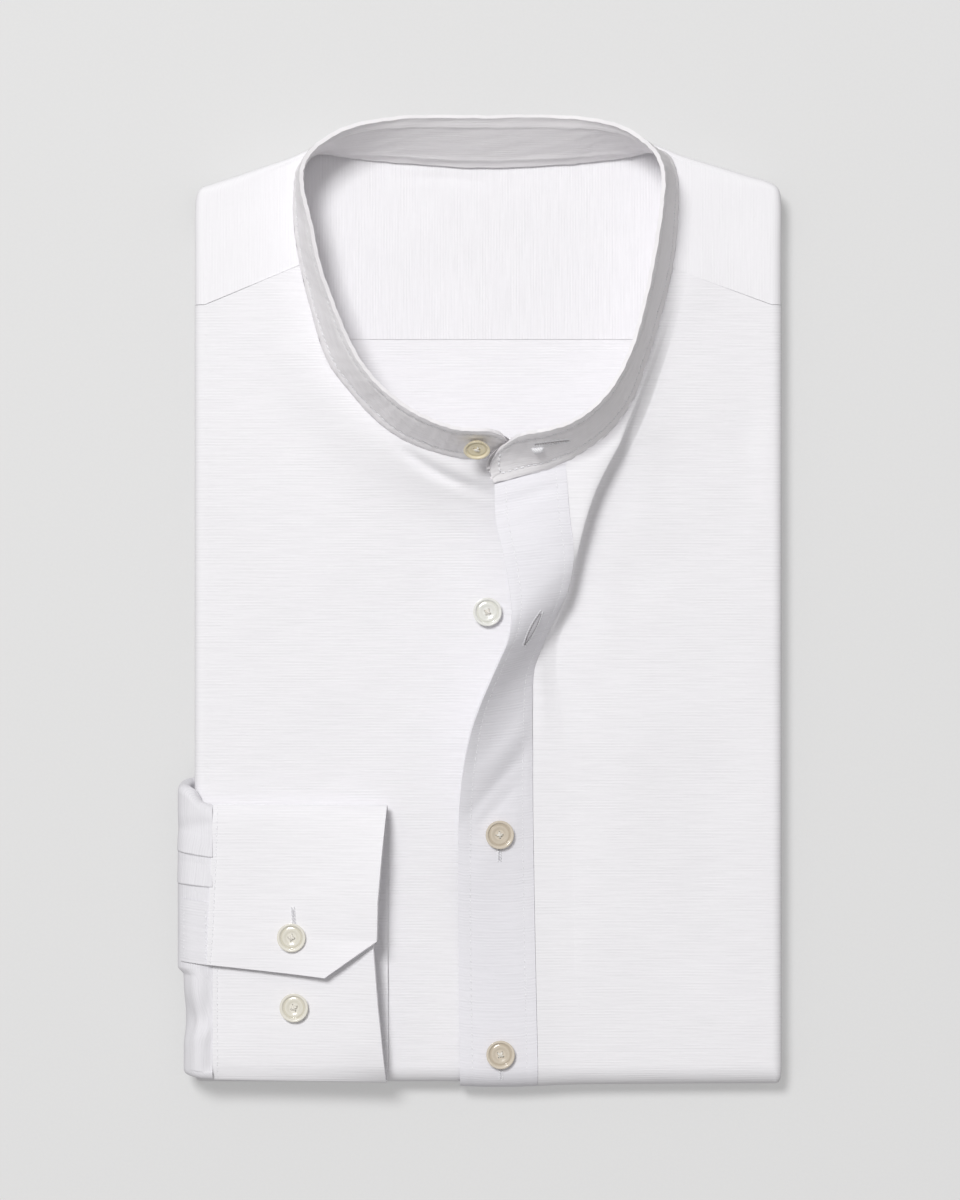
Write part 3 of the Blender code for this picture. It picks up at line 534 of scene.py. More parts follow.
def cloth_grid(name: str, points: Array, cloth: Array, wall: float,
               material: bpy.types.Material, ring: bool = False) -> bpy.types.Object:
    """Makes a thin sheet of cloth from a grid of points.

    Args:
        name: name of the piece.
        points: array (rows, columns, 3) in millimetres; columns run so that columns x rows faces out.
        cloth: array (rows, columns, 2), the same places on the flat cloth in millimetres.
        wall: thickness, laid on the inner side.
        material: its finish.
        ring: whether the last row meets the first.

    Returns:
        The new object, with its wall applied.
    """
    rows, columns = points.shape[:2]
    deselect()
    bpy.ops.mesh.primitive_grid_add(x_subdivisions=columns - 1, y_subdivisions=rows - 1, size=2.0)
    item = bpy.context.active_object
    item.name = name
    mesh = item.data
    mesh.name = name
    count = len(mesh.vertices)
    flat = np.zeros(count*3, np.float32)
    mesh.vertices.foreach_get("co", flat)
    flat = flat.reshape(-1, 3)
    column = np.rint((flat[:, 0] + 1.0)/2.0*(columns - 1)).astype(int)
    row = np.rint((flat[:, 1] + 1.0)/2.0*(rows - 1)).astype(int)
    mesh.vertices.foreach_set("co", (points[row, column]*MM).astype(np.float32).ravel())
    for layer in list(mesh.uv_layers):
        mesh.uv_layers.remove(layer)
    layer = mesh.uv_layers.new(name="cloth")
    corner = np.zeros(len(mesh.loops), np.int32)
    mesh.loops.foreach_get("vertex_index", corner)
    layer.data.foreach_set("uv", (cloth[row, column]*MM)[corner].astype(np.float32).ravel())
    mesh.update()
    if ring:
        with editing(item):
            bpy.ops.mesh.remove_doubles(threshold=MERGE)
    if wall > 0.0:
        solid = item.modifiers.new("wall", "SOLIDIFY")
        solid.thickness = wall*MM
        solid.offset = -1.0
        apply_all(item)
    mesh.materials.clear()
    mesh.materials.append(material)
    shade(mesh, 60.0)
    return item


@dataclass
class Stitching:
    """Rows of lockstitch, each stitch a short flattened bead of thread pressed into the cloth."""

    name: str
    length: float = 2.1
    gap: float = 0.5
    width: float = 0.4
    height: float = 0.14
    finish: Thread = Thread()
    lines: list = field(default_factory=list)
    sides: int = 6
    # sections of a stitch: share of its length, and size there
    sections: tuple[Pair, ...] = ((0.0, 0.35), (0.2, 0.95), (0.8, 0.95), (1.0, 0.35))
    # size of a section whose middle lies level with the cloth
    level_size: float = 0.75

    def add_line(self, points: Array, normals: Array) -> None:
        """Adds one line of sewing along points, with the cloth's outward normal at each."""
        self.lines.append((np.asarray(points, float), np.asarray(normals, float)))

    def stitch(self, ends: Array, up: Array) -> list[Array]:
        """Corners of one stitch between two ends, section by section."""
        along = ends[1] - ends[0]
        side = np.cross(along/np.linalg.norm(along), up)
        corners = []
        for share, size in self.sections:
            centre = ends[0] + along*share + up*self.height*(size - self.level_size)
            for turn in range(self.sides):
                angle = 2.0*math.pi*turn/self.sides
                corners.append((centre + side*math.cos(angle)*self.width/2.0*size
                                + up*math.sin(angle)*self.height/2.0*size)*MM)
        return corners

    def stitch_faces(self, start: int) -> list[tuple[int, ...]]:
        """Faces of one stitch whose corners start at a number: its sides and its two ends."""
        faces, last = [], len(self.sections) - 1
        for section in range(last):
            low, high = start + section*self.sides, start + (section + 1)*self.sides
            for turn in range(self.sides):
                after = (turn + 1) % self.sides
                faces.append((low + turn, low + after, high + after, high + turn))
        faces.append(tuple(start + turn for turn in reversed(range(self.sides))))
        faces.append(tuple(start + last*self.sides + turn for turn in range(self.sides)))
        return faces

    def build(self) -> bpy.types.Object | None:
        """Builds all the stitches as one joined mesh, or returns None where there are none."""
        corners, faces = [], []
        pitch = self.length + self.gap
        for points, normals in self.lines:
            steps = np.linalg.norm(np.diff(points, axis=0), axis=1)
            travel = np.concatenate(((0.0,), np.cumsum(steps)))
            for index in range(int(travel[-1]/pitch)):
                middle = (index + 0.5)*pitch
                ends = np.array([[np.interp(middle + side*self.length/2.0, travel, points[:, axis])
                                  for axis in range(3)] for side in (-1.0, 1.0)])
                up = np.array([np.interp(middle, travel, normals[:, axis]) for axis in range(3)])
                faces += self.stitch_faces(len(corners))
                corners += self.stitch(ends, up/np.linalg.norm(up))
        if not faces:
            return None
        mesh = bpy.data.meshes.new(self.name)
        mesh.from_pydata([tuple(corner) for corner in corners], [], faces)
        mesh.update()
        item = add_object(self.name, mesh)
        with editing(item):
            bpy.ops.mesh.normals_make_consistent(inside=False)
        mesh.materials.append(self.finish.material())
        mesh.shade_smooth()
        return item


def stitch_groove(places: Array, middle: float, width: float, depth: float = 0.16) -> Array:
    """Depth of the groove that a line of sewing pulls into the cloth.

    Args:
        places: places across the line.
        middle: place of the line.
        width: half its width, in the same measure.
        depth: its depth in millimetres.

    Returns:
        Depth at each place.
    """
    return depth*np.exp(-((places - middle)/width)**2)


def surface_line(points: Array) -> Arrays:
    """Middle row of a narrow three-row strip of points, with the cloth's normals, for a line of sewing.

    Args:
        points: array (3, steps, 3): the row before, the line itself and the row after.

    Returns:
        Points and normals, each (steps, 3).
    """
    across = points[2] - points[0]
    along = np.gradient(points[1], axis=0)
    return points[1], unit(np.cross(across, along))


@dataclass
class Panel:
    """A cloth piece of the shirt: its surface, wall, finish, flat size and the sewing on it."""

    name: str = "panel"
    nodes: Names = ()
    slot: str = "shirt_cotton"
    wall: float = 0.6
    ring: bool = False
    flat: Pair = (0.1, 0.1)
    area: float | None = None
    rests_on: Names = ()
    finish: SlubCotton = SlubCotton()
    # width and height of a stitch
    stitch_size: Pair = (0.4, 0.14)
    rows: ClassVar[Array]
    creases: tuple[Crease, ...] = ()
    # height, pitch and turn of its low waves
    waves: Floats = (0.0, 40.0, 0.0)

    @property
    def last(self) -> int:
        """Number of the last row of the piece's table."""
        return len(self.rows) - 1

    def surface(self, across: Array, along: Array) -> Array:
        """Points (along, across, 3) of the outer face, in millimetres."""
        raise NotImplementedError

    def lines(self) -> Arrays:
        """Grid lines across and along the piece."""
        raise NotImplementedError

    def cloth(self, points: Array) -> Array:
        """Places on the flat cloth, worked out from the distances over the grid."""
        return np.stack((lengths(points, 1), lengths(points, 0)), axis=-1)

    def uneven(self, x: Array, y: Array) -> Array:
        """Height of the piece's creases and low waves at points of the plan."""
        return sum(crease.at(x, y) for crease in self.creases) + rumple(x, y, *self.waves)

    def sewing(self, stitching: Stitching) -> None:
        """Adds the piece's own lines of sewing."""

    def sew_along(self, stitching: Stitching, place: float, along: Array,
                  reach: float = 0.03) -> None:
        """Adds a line of sewing that runs along the piece.

        Args:
            stitching: sewing that it is added to.
            place: place of the line across the piece.
            along: places along the piece.
            reach: how far across to either side the cloth's slope is taken.
        """
        strip = self.surface(np.array((place - reach, place, place + reach)), along)
        stitching.add_line(*surface_line(strip.transpose(1, 0, 2)))

    def build(self) -> bpy.types.Object:
        """Builds the piece, tells the frame about it and sews it."""
        across, along = self.lines()
        points = self.surface(across, along)
        item = cloth_grid(self.name, points, self.cloth(points), self.wall, self.finish.material(),
                          self.ring)
        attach(item, "root")
        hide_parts(*self.nodes)
        width, height = self.stitch_size
        stitching = Stitching(self.name + "_stitches", width=width, height=height)
        self.sewing(stitching)
        sewn = stitching.build()
        if sewn:
            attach(sewn, "root")
        LOG.info("built %s", self.name)
        return item


def run(*spans: tuple[float, float, int]) -> Array:
    """Grid lines from spans of (start, end, steps), each starting where the one before ends."""
    parts = [np.linspace(start, end, steps + 1)[(0 if index == 0 else 1):]
             for index, (start, end, steps) in enumerate(spans)]
    return np.concatenate(parts)


@dataclass
class RightFront(Panel):
    """Right front, under the placket at its inner edge and round the side and foot folds."""

    name: str = "right_front_cloth"
    nodes: Names = ("front_right",)
    flat: Pair = (0.135, 0.32)
    area: float = 0.0395
    rests_on: Names = ("folded_body",)
    # x and y of each line's inner end, y of its side end, place on the band (below 0 where not on it)
    rows: ClassVar[Array] = np.array((
        (UNDER_PLACKET, FOOT_TURN, FOOT_TURN, -1.0), (UNDER_PLACKET, -110.0, -110.0, -1.0),
        (UNDER_PLACKET, -40.0, -40.0, -1.0), (UNDER_PLACKET, 20.0, 12.0, -1.0),
        (UNDER_PLACKET, 50.0, 38.0, -1.0), (10.9, 56.5, 48.0, 0.0), (-5.8, 57.1, 55.0, 1.0),
        (-15.5, 58.7, 60.0, 2.0), (-27.4, 62.8, 66.0, 3.0), (-39.2, 70.3, 74.0, 4.0),
        (-50.9, 82.9, 83.0, 5.0), (-60.0, 95.6, 93.0, 6.0), (-66.3, 115.0, 105.0, 7.0),
        (-70.6, 132.9, 117.4, 7.997),
    ))
    neck_row: int = 5
    # how far from the band the cloth is lifted by it, and how far below the seam its edge lies
    reach: float = 17.0
    below_seam: float = 0.3
    creases: tuple[Crease, ...] = (
        Crease((-31.0, 61.5), (8.0, 42.5), -2.4, 2.4, -2.4),
        Crease((-16.0, 44.0), (6.0, 37.5), -0.6, 2.5, -0.8),
        Crease((-30.0, 66.0), (-4.0, 50.0), 0.7, 4.0, 2.0),
        Crease((-50.0, 74.0), (-30.0, 20.0), 0.6, 9.0, -4.0),
        Crease((-96.0, 96.0), (-58.0, 40.0), -0.5, 9.0, 6.0),
        Crease((-100.0, 30.0), (-60.0, -30.0), 0.5, 12.0, 5.0),
        Crease((-30.0, -20.0), (-12.0, -110.0), 0.5, 10.0, 4.0),
    )
    waves: Floats = (0.18, 46.0)
    # stretch of the band that lifts the cloth; its nearest part counts most, evened out over 2 mm
    lifting_band: ClassVar[Array] = run((0.0, 8.0, 64))
    lift_soft: float = 2.0

    def lines(self) -> Arrays:
        """Grid lines across and along the piece; below 0 they are past the top of a fold."""
        return run((-1, 0, 14), (0, 1, 110)), run((-1, 0, 20), (0, 1, self.last*12))

    def surface(self, across: Array, along: Array) -> Array:
        """Points of the outer face."""
        places = np.maximum(along, 0.0)*self.last
        ends = through(self.rows, places)
        on_neck = places >= self.neck_row
        if on_neck.any():
            bands = np.interp(places[on_neck], range(len(self.rows)), self.rows[:, 3])
            ends[on_neck, :2] = neck_seam(bands)[:, :2]
        share = np.maximum(across, 0.0)[None, :]
        x = LEFT_TURN + (ends[:, :1] - LEFT_TURN)*share
        y = ends[:, 2:3] + (ends[:, 1:2] - ends[:, 2:3])*share
        z = FRONT_TOP + self.neck_lift(x, y)
        z = z + ease((x - LEFT_TURN)/FOLD_CALM)*ease((y - FOOT_TURN)/FOLD_CALM)*self.uneven(x, y)
        return turn_over(np.stack((x, y, z), axis=-1), -1.0, np.maximum(0.0, -across)[None, :],
                         np.maximum(0.0, -along)[:, None], UNDER_FLOOR)

    def neck_lift(self, x: Array, y: Array) -> Array:
        """How far the cloth is lifted by the collar band sewn to its edge."""
        band = through(BAND, self.lifting_band)[:, :3]
        gaps = np.sqrt((x[..., None] - band[:, 0])**2 + (y[..., None] - band[:, 1])**2)
        weights = 1.0/(gaps**2 + self.lift_soft**2)
        seam = (weights*band[:, 2]).sum(-1)/weights.sum(-1)
        away = np.maximum(gaps.min(-1) - 1.0, 0.0)
        return (seam - self.below_seam - FRONT_TOP)*np.exp(-(away/self.reach)**2)

    def cloth(self, points: Array) -> Array:
        """Places on the flat cloth: the plan, with the folds opened out."""
        across, along = self.lines()
        plan = np.stack((points[..., 0], points[..., 1]), axis=-1)
        side, foot = lengths(points, 1), lengths(points, 0)
        top_column, top_row = int(np.argmax(across >= 0.0)), int(np.argmax(along >= 0.0))
        plan[:, :top_column, 0] = LEFT_TURN - (side[:, top_column:top_column + 1] - side[:, :top_column])
        plan[:, :top_column, 1] = plan[:, top_column:top_column + 1, 1]
        plan[:top_row, :, 1] = FOOT_TURN - (foot[top_row:top_row + 1] - foot[:top_row])
        return plan


@dataclass
class LeftFront(Panel):
    """Left front, lifted beside the placket in a wave whose crest hangs over the hollow beside it."""

    name: str = "left_front_cloth"
    nodes: Names = ("front_left",)
    flat: Pair = (0.135, 0.33)
    area: float = 0.032
    rests_on: Names = ("folded_body", "front_right")
    # seam x, y, z; crest x, y, z; hollow x, y, z; side y; place on the band (below 0 where not on it)
    rows: ClassVar[Array] = np.array((
        (22.9, FOOT_TURN, 18.2, 28.9, FOOT_TURN, 17.7, 40.0, FOOT_TURN, 17.1, FOOT_TURN, -1.0),
        (21.9, -134.0, 18.2, 27.9, -134.0, 17.7, 38.0, -134.0, 17.1, -134.0, -1.0),
        (20.9, -68.0, 18.2, 26.1, -68.0, 17.8, 36.0, -68.0, 17.1, -68.0, -1.0),
        (21.1, -33.0, 19.0, 24.6, -36.0, 18.5, 31.0, -38.0, 17.2, -36.0, -1.0),
        (24.4, -16.3, 20.9, 24.8, -16.7, 19.9, 30.6, -19.0, 17.2, -14.0, -1.0),
        (27.3, -9.3, 24.6, 27.6, -9.9, 22.9, 31.4, -12.0, 17.2, -6.0, -1.0),
        (34.2, 5.4, 29.0, 34.5, 5.2, 27.2, 37.4, 3.0, 17.2, 9.0, -1.0),
        (36.2, 14.7, 30.9, 36.5, 14.4, 29.2, 39.6, 11.0, 17.4, 18.0, -1.0),
        (34.9, 33.3, 32.0, 41.0, 33.3, 31.8, 44.2, 31.0, 18.8, 36.0, -1.0),
        (34.3, 45.0, 31.8, 44.8, 45.0, 31.8, 48.0, 42.0, 19.2, 48.0, -1.0),
        (33.9, 56.2, 31.4, 49.8, 55.6, 31.8, 53.4, 52.3, 19.6, 59.0, 27.62),
        (40.9, 60.2, 31.0, 53.4, 62.0, 31.4, 58.2, 59.8, 20.0, 69.0, 27.0),
        (51.5, 68.2, 30.0, 56.6, 69.6, 29.8, 62.4, 68.0, 20.4, 79.0, 26.0),
        (60.1, 81.0, 28.0, 61.4, 81.0, 27.4, 67.0, 79.0, 19.8, 90.0, 25.0),
        (66.5, 98.6, 23.5, 67.8, 98.2, 23.0, 72.6, 96.0, 18.8, 101.0, 24.0),
        (71.3, 114.3, 20.5, 72.7, 113.9, 20.1, 77.4, 111.5, 18.3, 109.0, 23.0),
        (75.3, 131.6, 18.7, 76.8, 131.0, 18.55, 81.9, 129.15, 18.2, 117.42, 22.003),
    ))
    neck_row: int = 10
    # how far the crest hangs over the hollow, how deep the line between them lies, as shares of the fall
    overhang: float = 0.2
    under_share: float = 0.55
    # share of the way up from the hollow to the flat front that the middle between them reaches
    middle_share: float = 0.7
    # how far its edge is tucked under the placket beside the wave, against y
    tuck_y: tuple[float, float, float, float] = (-24.0, -14.0, 10.0, 26.0)
    tuck: tuple[float, float, float, float] = (0.0, 0.9, 0.9, 0.0)
    # gap to the placket, wider on the flat than on the wave, against y
    gap_y: Pair = (-40.0, -15.0)
    gap: Pair = (0.15, SEAM_GAP)
    # share across at which the wave ends and the creases begin, and how soon they are whole
    flat_from: float = 0.55
    flat_soft: float = 0.08
    side_calm: float = 10.0
    creases: tuple[Crease, ...] = (
        Crease((62.0, 40.0), (48.0, -24.0), 0.6, 7.0, -5.0),
        Crease((74.0, 96.0), (66.0, 20.0), 0.7, 8.0, -5.0),
        Crease((108.0, 96.0), (90.0, 10.0), -0.5, 10.0, 6.0),
        Crease((60.0, -30.0), (44.0, -120.0), 0.5, 11.0, 5.0),
        Crease((100.0, -40.0), (84.0, -150.0), -0.4, 12.0, -4.0),
        Crease((34.0, -22.0), (52.0, -62.0), 0.5, 6.0, 2.0),
    )
    waves: Floats = (0.2, 52.0, 1.3)

    def lines(self) -> Arrays:
        """Grid lines across and along the piece; across over 1 and along below 0 are past a fold."""
        return run((0, 0.6, 60), (0.6, 1, 50), (1, 2, 14)), run((-1, 0, 20), (0, 1, self.last*12))

    def section(self, along: Array) -> Array:
        """Stations across the piece, for each line along it: array (along, 6, 3)."""
        places = np.maximum(along, 0.0)*self.last
        wave = through(self.rows, places)
        on_neck = places >= self.neck_row
        if on_neck.any():
            bands = np.interp(places[on_neck], range(len(self.rows)), self.rows[:, 10])
            wave[on_neck, :3] = neck_seam(bands)
        sewn = through(FrontPlacket.rows, run((0.0, len(FrontPlacket.rows) - 1.0, 399)))[:, 3:]
        beside = wave[:, 1] < sewn[-1, 1]
        for axis in (0, 2):
            wave[beside, axis] = np.interp(wave[beside, 1], sewn[:, 1], sewn[:, axis])
        wave[beside, 0] += np.interp(wave[beside, 1], self.gap_y, self.gap)
        wave[beside, 2] -= np.interp(wave[beside, 1], self.tuck_y, self.tuck)
        seam, crest, hollow, side_y = wave[:, :3], wave[:, 3:6], wave[:, 6:9], wave[:, 9]
        fall = crest[:, 2] - hollow[:, 2]
        under = (crest + hollow)/2.0
        under[:, 0] -= self.overhang*fall
        under[:, 2] = crest[:, 2] - self.under_share*fall
        level = np.full_like(side_y, FRONT_TOP)
        far = np.stack((np.full_like(side_y, RIGHT_TURN), side_y, level), axis=1)
        middle = (hollow + far)/2.0
        middle[:, 2] = hollow[:, 2] + self.middle_share*(FRONT_TOP - hollow[:, 2])
        return np.stack((seam, crest, under, hollow, middle, far), axis=1)

    def surface(self, across: Array, along: Array) -> Array:
        """Points of the outer face."""
        points = through(self.section(along), np.minimum(across, 1.0)*5.0)
        x, y = points[..., 0], points[..., 1]
        flat = ease((np.minimum(across, 1.0)[None, :] - self.flat_from)/self.flat_soft)
        calm = flat*ease((RIGHT_TURN - x)/self.side_calm)*ease((y - FOOT_TURN)/FOLD_CALM)
        points[..., 2] += calm*self.uneven(x, y)
        return turn_over(points, 1.0, np.maximum(0.0, across - 1.0)[None, :],
                         np.maximum(0.0, -along)[:, None])

    def cloth(self, points: Array) -> Array:
        """Places on the flat cloth: distance across from the seam, and the plan's length."""
        along = self.lines()[1]
        foot = lengths(points, 0)
        top_row = int(np.argmax(along >= 0.0))
        flat = np.stack((lengths(points, 1), points[..., 1]), axis=-1)
        flat[:, :, 0] += points[:, :1, 0]
        flat[:top_row, :, 1] = FOOT_TURN - (foot[top_row:top_row + 1] - foot[:top_row])
        return flat


@dataclass
class FrontPlacket(Panel):
    """Front placket, lying on the right front below and lifted and twisted above."""

    name: str = "placket_cloth"
    nodes: Names = ("front_placket",)
    wall: float = 0.8
    flat: Pair = (0.031, 0.262)
    rests_on: Names = ("front_right",)
    # painted shade: the same cotton tinted darker and bluer, standing in for the shade on the lifted
    # placket
    finish: SlubCotton = SlubCotton(name="slub_cotton_painted_shade_placket", pale="#EFEEF3", deep="#E5E4E9")
    # free edge x, y, z; sewn edge x, y, z
    rows: ClassVar[Array] = np.array((
        (-7.8, FOOT_TURN, 18.4, 22.5, FOOT_TURN, 18.4), (-8.4, -134.0, 18.3, 21.5, -134.0, 18.3),
        (-8.2, -87.3, 24.6, 20.6, -80.0, 18.3), (-6.6, -65.8, 31.0, 20.5, -55.0, 18.3),
        (-3.5, -49.4, 36.0, 20.5, -38.0, 18.6), (0.0, -38.8, 39.2, 21.0, -25.5, 19.6),
        (3.9, -29.4, 41.4, 24.0, -16.3, 21.6), (7.7, -20.8, 43.0, 27.0, -9.3, 25.2),
        (10.8, -13.5, 44.2, 30.7, -1.6, 28.0), (12.3, -5.4, 44.2, 33.8, 5.4, 30.2),
        (12.0, 1.6, 42.2, 35.9, 14.7, 31.9), (9.2, 19.7, 37.2, 36.0, 24.0, 32.2),
        (6.2, 33.0, 31.8, 34.6, 36.0, 32.2), (5.6, 47.2, 28.3, 33.1, 54.6, 31.3),
    ))
    camber: float = 0.5
    # how far each edge is pressed down, and how wide that is, as a share of the width
    edge_drop: float = 0.25
    edge_share: float = 0.05
    stitch_places: Pair = (0.16, 0.86)
    groove: float = 1.1/30.0
    # share of its creases that the sewn edge keeps, and where they are whole again
    sewn_calm: float = 0.35
    sewn_reach: float = 0.25
    creases: tuple[Crease, ...] = (
        Crease((24.0, -38.0), (-2.0, -68.0), 1.2, 4.6, 1.0),
        Crease((19.0, -54.0), (-6.0, -84.0), -1.0, 3.2, 1.0),
        Crease((16.0, -62.0), (-2.0, -82.0), 0.5, 1.6, -0.6),
        Crease((16.0, -68.0), (-4.0, -88.0), -0.5, 1.6, 0.6),
        Crease((22.0, -74.0), (-2.0, -104.0), 0.7, 5.0, -1.0),
        Crease((2.0, 37.0), (34.0, 47.5), -0.8, 2.6),
        Crease((26.0, -92.0), (-6.0, -112.0), 0.4, 8.0),
    )
    waves: Floats = (0.14, 30.0, 5.0)

    def lines(self) -> Arrays:
        """Grid lines across and along the piece; along below 0 they are past the foot fold."""
        return run((0, 1, 26)), run((-1, 0, 20), (0, 1, self.last*14))

    def surface(self, across: Array, along: Array) -> Array:
        """Points of the outer face."""
        strip = through(self.rows, np.maximum(along, 0.0)*self.last)
        share = across[None, :, None]
        points = strip[:, None, :3] + (strip[:, None, 3:] - strip[:, None, :3])*share
        edge = np.exp(-(across/self.edge_share)**2) + np.exp(-((1.0 - across)/self.edge_share)**2)
        grooves = sum(stitch_groove(across, place, self.groove) for place in self.stitch_places)
        points[..., 2] += self.camber*np.sin(np.pi*across) - self.edge_drop*edge - grooves
        x, y = points[..., 0], points[..., 1]
        calm = np.minimum(1.0, self.sewn_calm + ease((1.0 - across)/self.sewn_reach))
        points[..., 2] += ease((y - FOOT_TURN)/FOLD_CALM)*calm*self.uneven(x, y)
        return turn_over(points, 1.0, np.zeros_like(across)[None, :], np.maximum(0.0, -along)[:, None])

    def sewing(self, stitching: Stitching) -> None:
        """Topstitching inside both edges."""
        for place in self.stitch_places:
            self.sew_along(stitching, place, run((-1, 0, 12), (0, 1, self.last*12)))


@dataclass
class Yoke(Panel):
    """Outer yoke, over both shoulders and round the back neck edge."""

    name: str = "yoke_cloth"
    nodes: Names = ("yoke",)
    flat: Pair = (0.36, 0.066)
    area: float = 0.0098
    rests_on: Names = ("folded_body",)
    finish: SlubCotton = SlubCotton(name="slub_cotton_yoke", deep="#EFEEF1", lie=Lie.UP, rib_depth=0.02)
    # folded edge x, y; radius that it rolls over; height that it turns down to; place on the band
    rows: ClassVar[Array] = np.array((
        (-111.4, 117.5, 4.0, LIP_FLOOR, 8.0), (-111.4, 140.0, 4.0, LIP_FLOOR, 9.0),
        (-111.1, 157.5, 3.4, LIP_FLOOR, 9.75), (-109.4, 162.7, 2.8, 6.0, 10.0),
        (-105.0, 164.7, 3.2, 3.0, 10.2), (-97.0, 167.3, 3.2, FOOT_FLOOR, 10.5),
        (-84.0, 171.6, 2.4, FOOT_FLOOR, 10.9), (-75.0, 174.6, 1.9, FOOT_FLOOR, 11.2),
        (-69.3, 177.0, 1.5, FOOT_FLOOR, 11.5), (-64.2, 179.2, 1.6, FOOT_FLOOR, 12.0),
        (-50.8, 182.0, 4.0, FOOT_FLOOR, 13.0), (-31.5, 181.2, 4.4, FOOT_FLOOR, 14.0),
        (2.0, 180.0, 4.4, FOOT_FLOOR, 15.0), (35.4, 181.2, 4.4, FOOT_FLOOR, 16.0),
        (56.2, 182.0, 4.0, FOOT_FLOOR, 17.0), (68.2, 180.0, 1.6, FOOT_FLOOR, 18.0),
        (73.0, 178.2, 1.5, FOOT_FLOOR, 18.5), (76.6, 176.6, 1.6, FOOT_FLOOR, 19.0),
        (82.0, 174.8, 1.9, FOOT_FLOOR, 19.2), (93.0, 171.6, 2.6, FOOT_FLOOR, 19.5),
        (105.0, 168.0, 3.2, FOOT_FLOOR, 19.8), (112.6, 165.7, 3.0, 3.0, 20.05),
        (116.5, 163.0, 2.8, 6.0, 20.3), (117.7, 157.6, 3.4, LIP_FLOOR, 20.6),
        (117.8, 140.0, 4.0, LIP_FLOOR, 21.1), (117.8, 117.5, 4.0, LIP_FLOOR, 22.0),
    ))
    waves: Floats = (0.16, 40.0, 2.2)
    # how far it stops short of the front seams, and over what its direction is taken, in rows
    end_gap: float = 0.005
    out_step: float = 0.05
    # how far the lower bend of the folded edge turns
    lower_turn: float = math.radians(75.0)
    # share of the way out in which it settles from the seam's height to the flat
    settle: float = 0.46
    # shares of the way out in which its waves grow and fade, and what is left of them at the edge
    wave_in: float = 0.15
    wave_out: float = 0.1
    wave_left: float = 0.3
    # steps of the grid from the neck to the folded edge, and round that
    flat_steps: int = 22
    fold_steps: int = 26

    def lines(self) -> Arrays:
        """Grid lines along the neck and out from it; over 1 they are past the top of the fold."""
        return (run((self.end_gap, self.last - self.end_gap, self.last*10)),
                run((0, 1, self.flat_steps), (1, 2, self.fold_steps)))

    def surface(self, across: Array, along: Array) -> Array:
        """Points of the outer face: across goes round the neck row by row, along goes out from it."""
        here = through(self.rows, across)
        neck = neck_seam(here[:, 4])
        out = outward(self.rows, across, self.out_step)
        sides = here[:, 3] > LIP_FLOOR - 0.1
        out[sides] = np.stack((np.sign(here[sides, 0]), np.zeros(sides.sum())), axis=1)
        roll, low = here[:, 2], here[:, 3]
        top = here[:, :2] - out*roll[:, None]
        top_z = np.minimum(neck[:, 2], FRONT_TOP)
        share = np.clip(along, 0.0, 1.0)[:, None]
        flat_xy = neck[None, :, :2] + (top - neck[:, :2])[None]*share[..., None]
        flat_z = top_z[None] + (neck[:, 2] - top_z)[None]*np.exp(-(share/self.settle)**2)
        lower = np.minimum(roll, (top_z - low)/2.0)
        drop = np.maximum(0.0, top_z - low - roll - lower)
        quarter = math.pi/2.0*roll
        travel = np.clip(along - 1.0, 0.0, 1.0)[:, None]*(quarter + drop + self.lower_turn*lower)
        first = np.clip(travel/roll, 0.0, math.pi/2.0)
        second = np.clip((travel - quarter - drop)/lower, 0.0, None)
        out_by = roll*np.sin(first) - lower*(1.0 - np.cos(second))
        down_by = (roll*(1.0 - np.cos(first)) + np.clip(travel - quarter, 0.0, drop)
                   + lower*np.sin(second))
        points = np.concatenate((flat_xy + out[None]*out_by[..., None],
                                 (flat_z - down_by)[..., None]), axis=-1)
        x, y = points[..., 0], points[..., 1]
        calm = ease(share/self.wave_in)*ease((1.0 - share)/self.wave_out + self.wave_left)
        points[..., 2] += calm*(along <= 1.0)[:, None]*self.uneven(x, y)
        return points

    def cloth(self, points: Array) -> Array:
        """Places on the flat cloth: the plan, with the folded edge opened out."""
        flat = points[..., :2].copy()
        edge, out = self.flat_steps, lengths(points, 0)
        grow = (out - out[edge])[edge + 1:]
        flat[edge + 1:] = flat[edge] + unit(flat[edge] - flat[0])*grow[..., None]
        return flat


@dataclass
class Inside(Panel):
    """Piece of the inside of the shirt that is seen in the open neck."""

    slot: str = "inner_cotton"
    rests_on: Names = ("folded_body",)

    def cloth(self, points: Array) -> Array:
        """Places on the flat cloth: the plan."""
        return points[..., :2].copy()


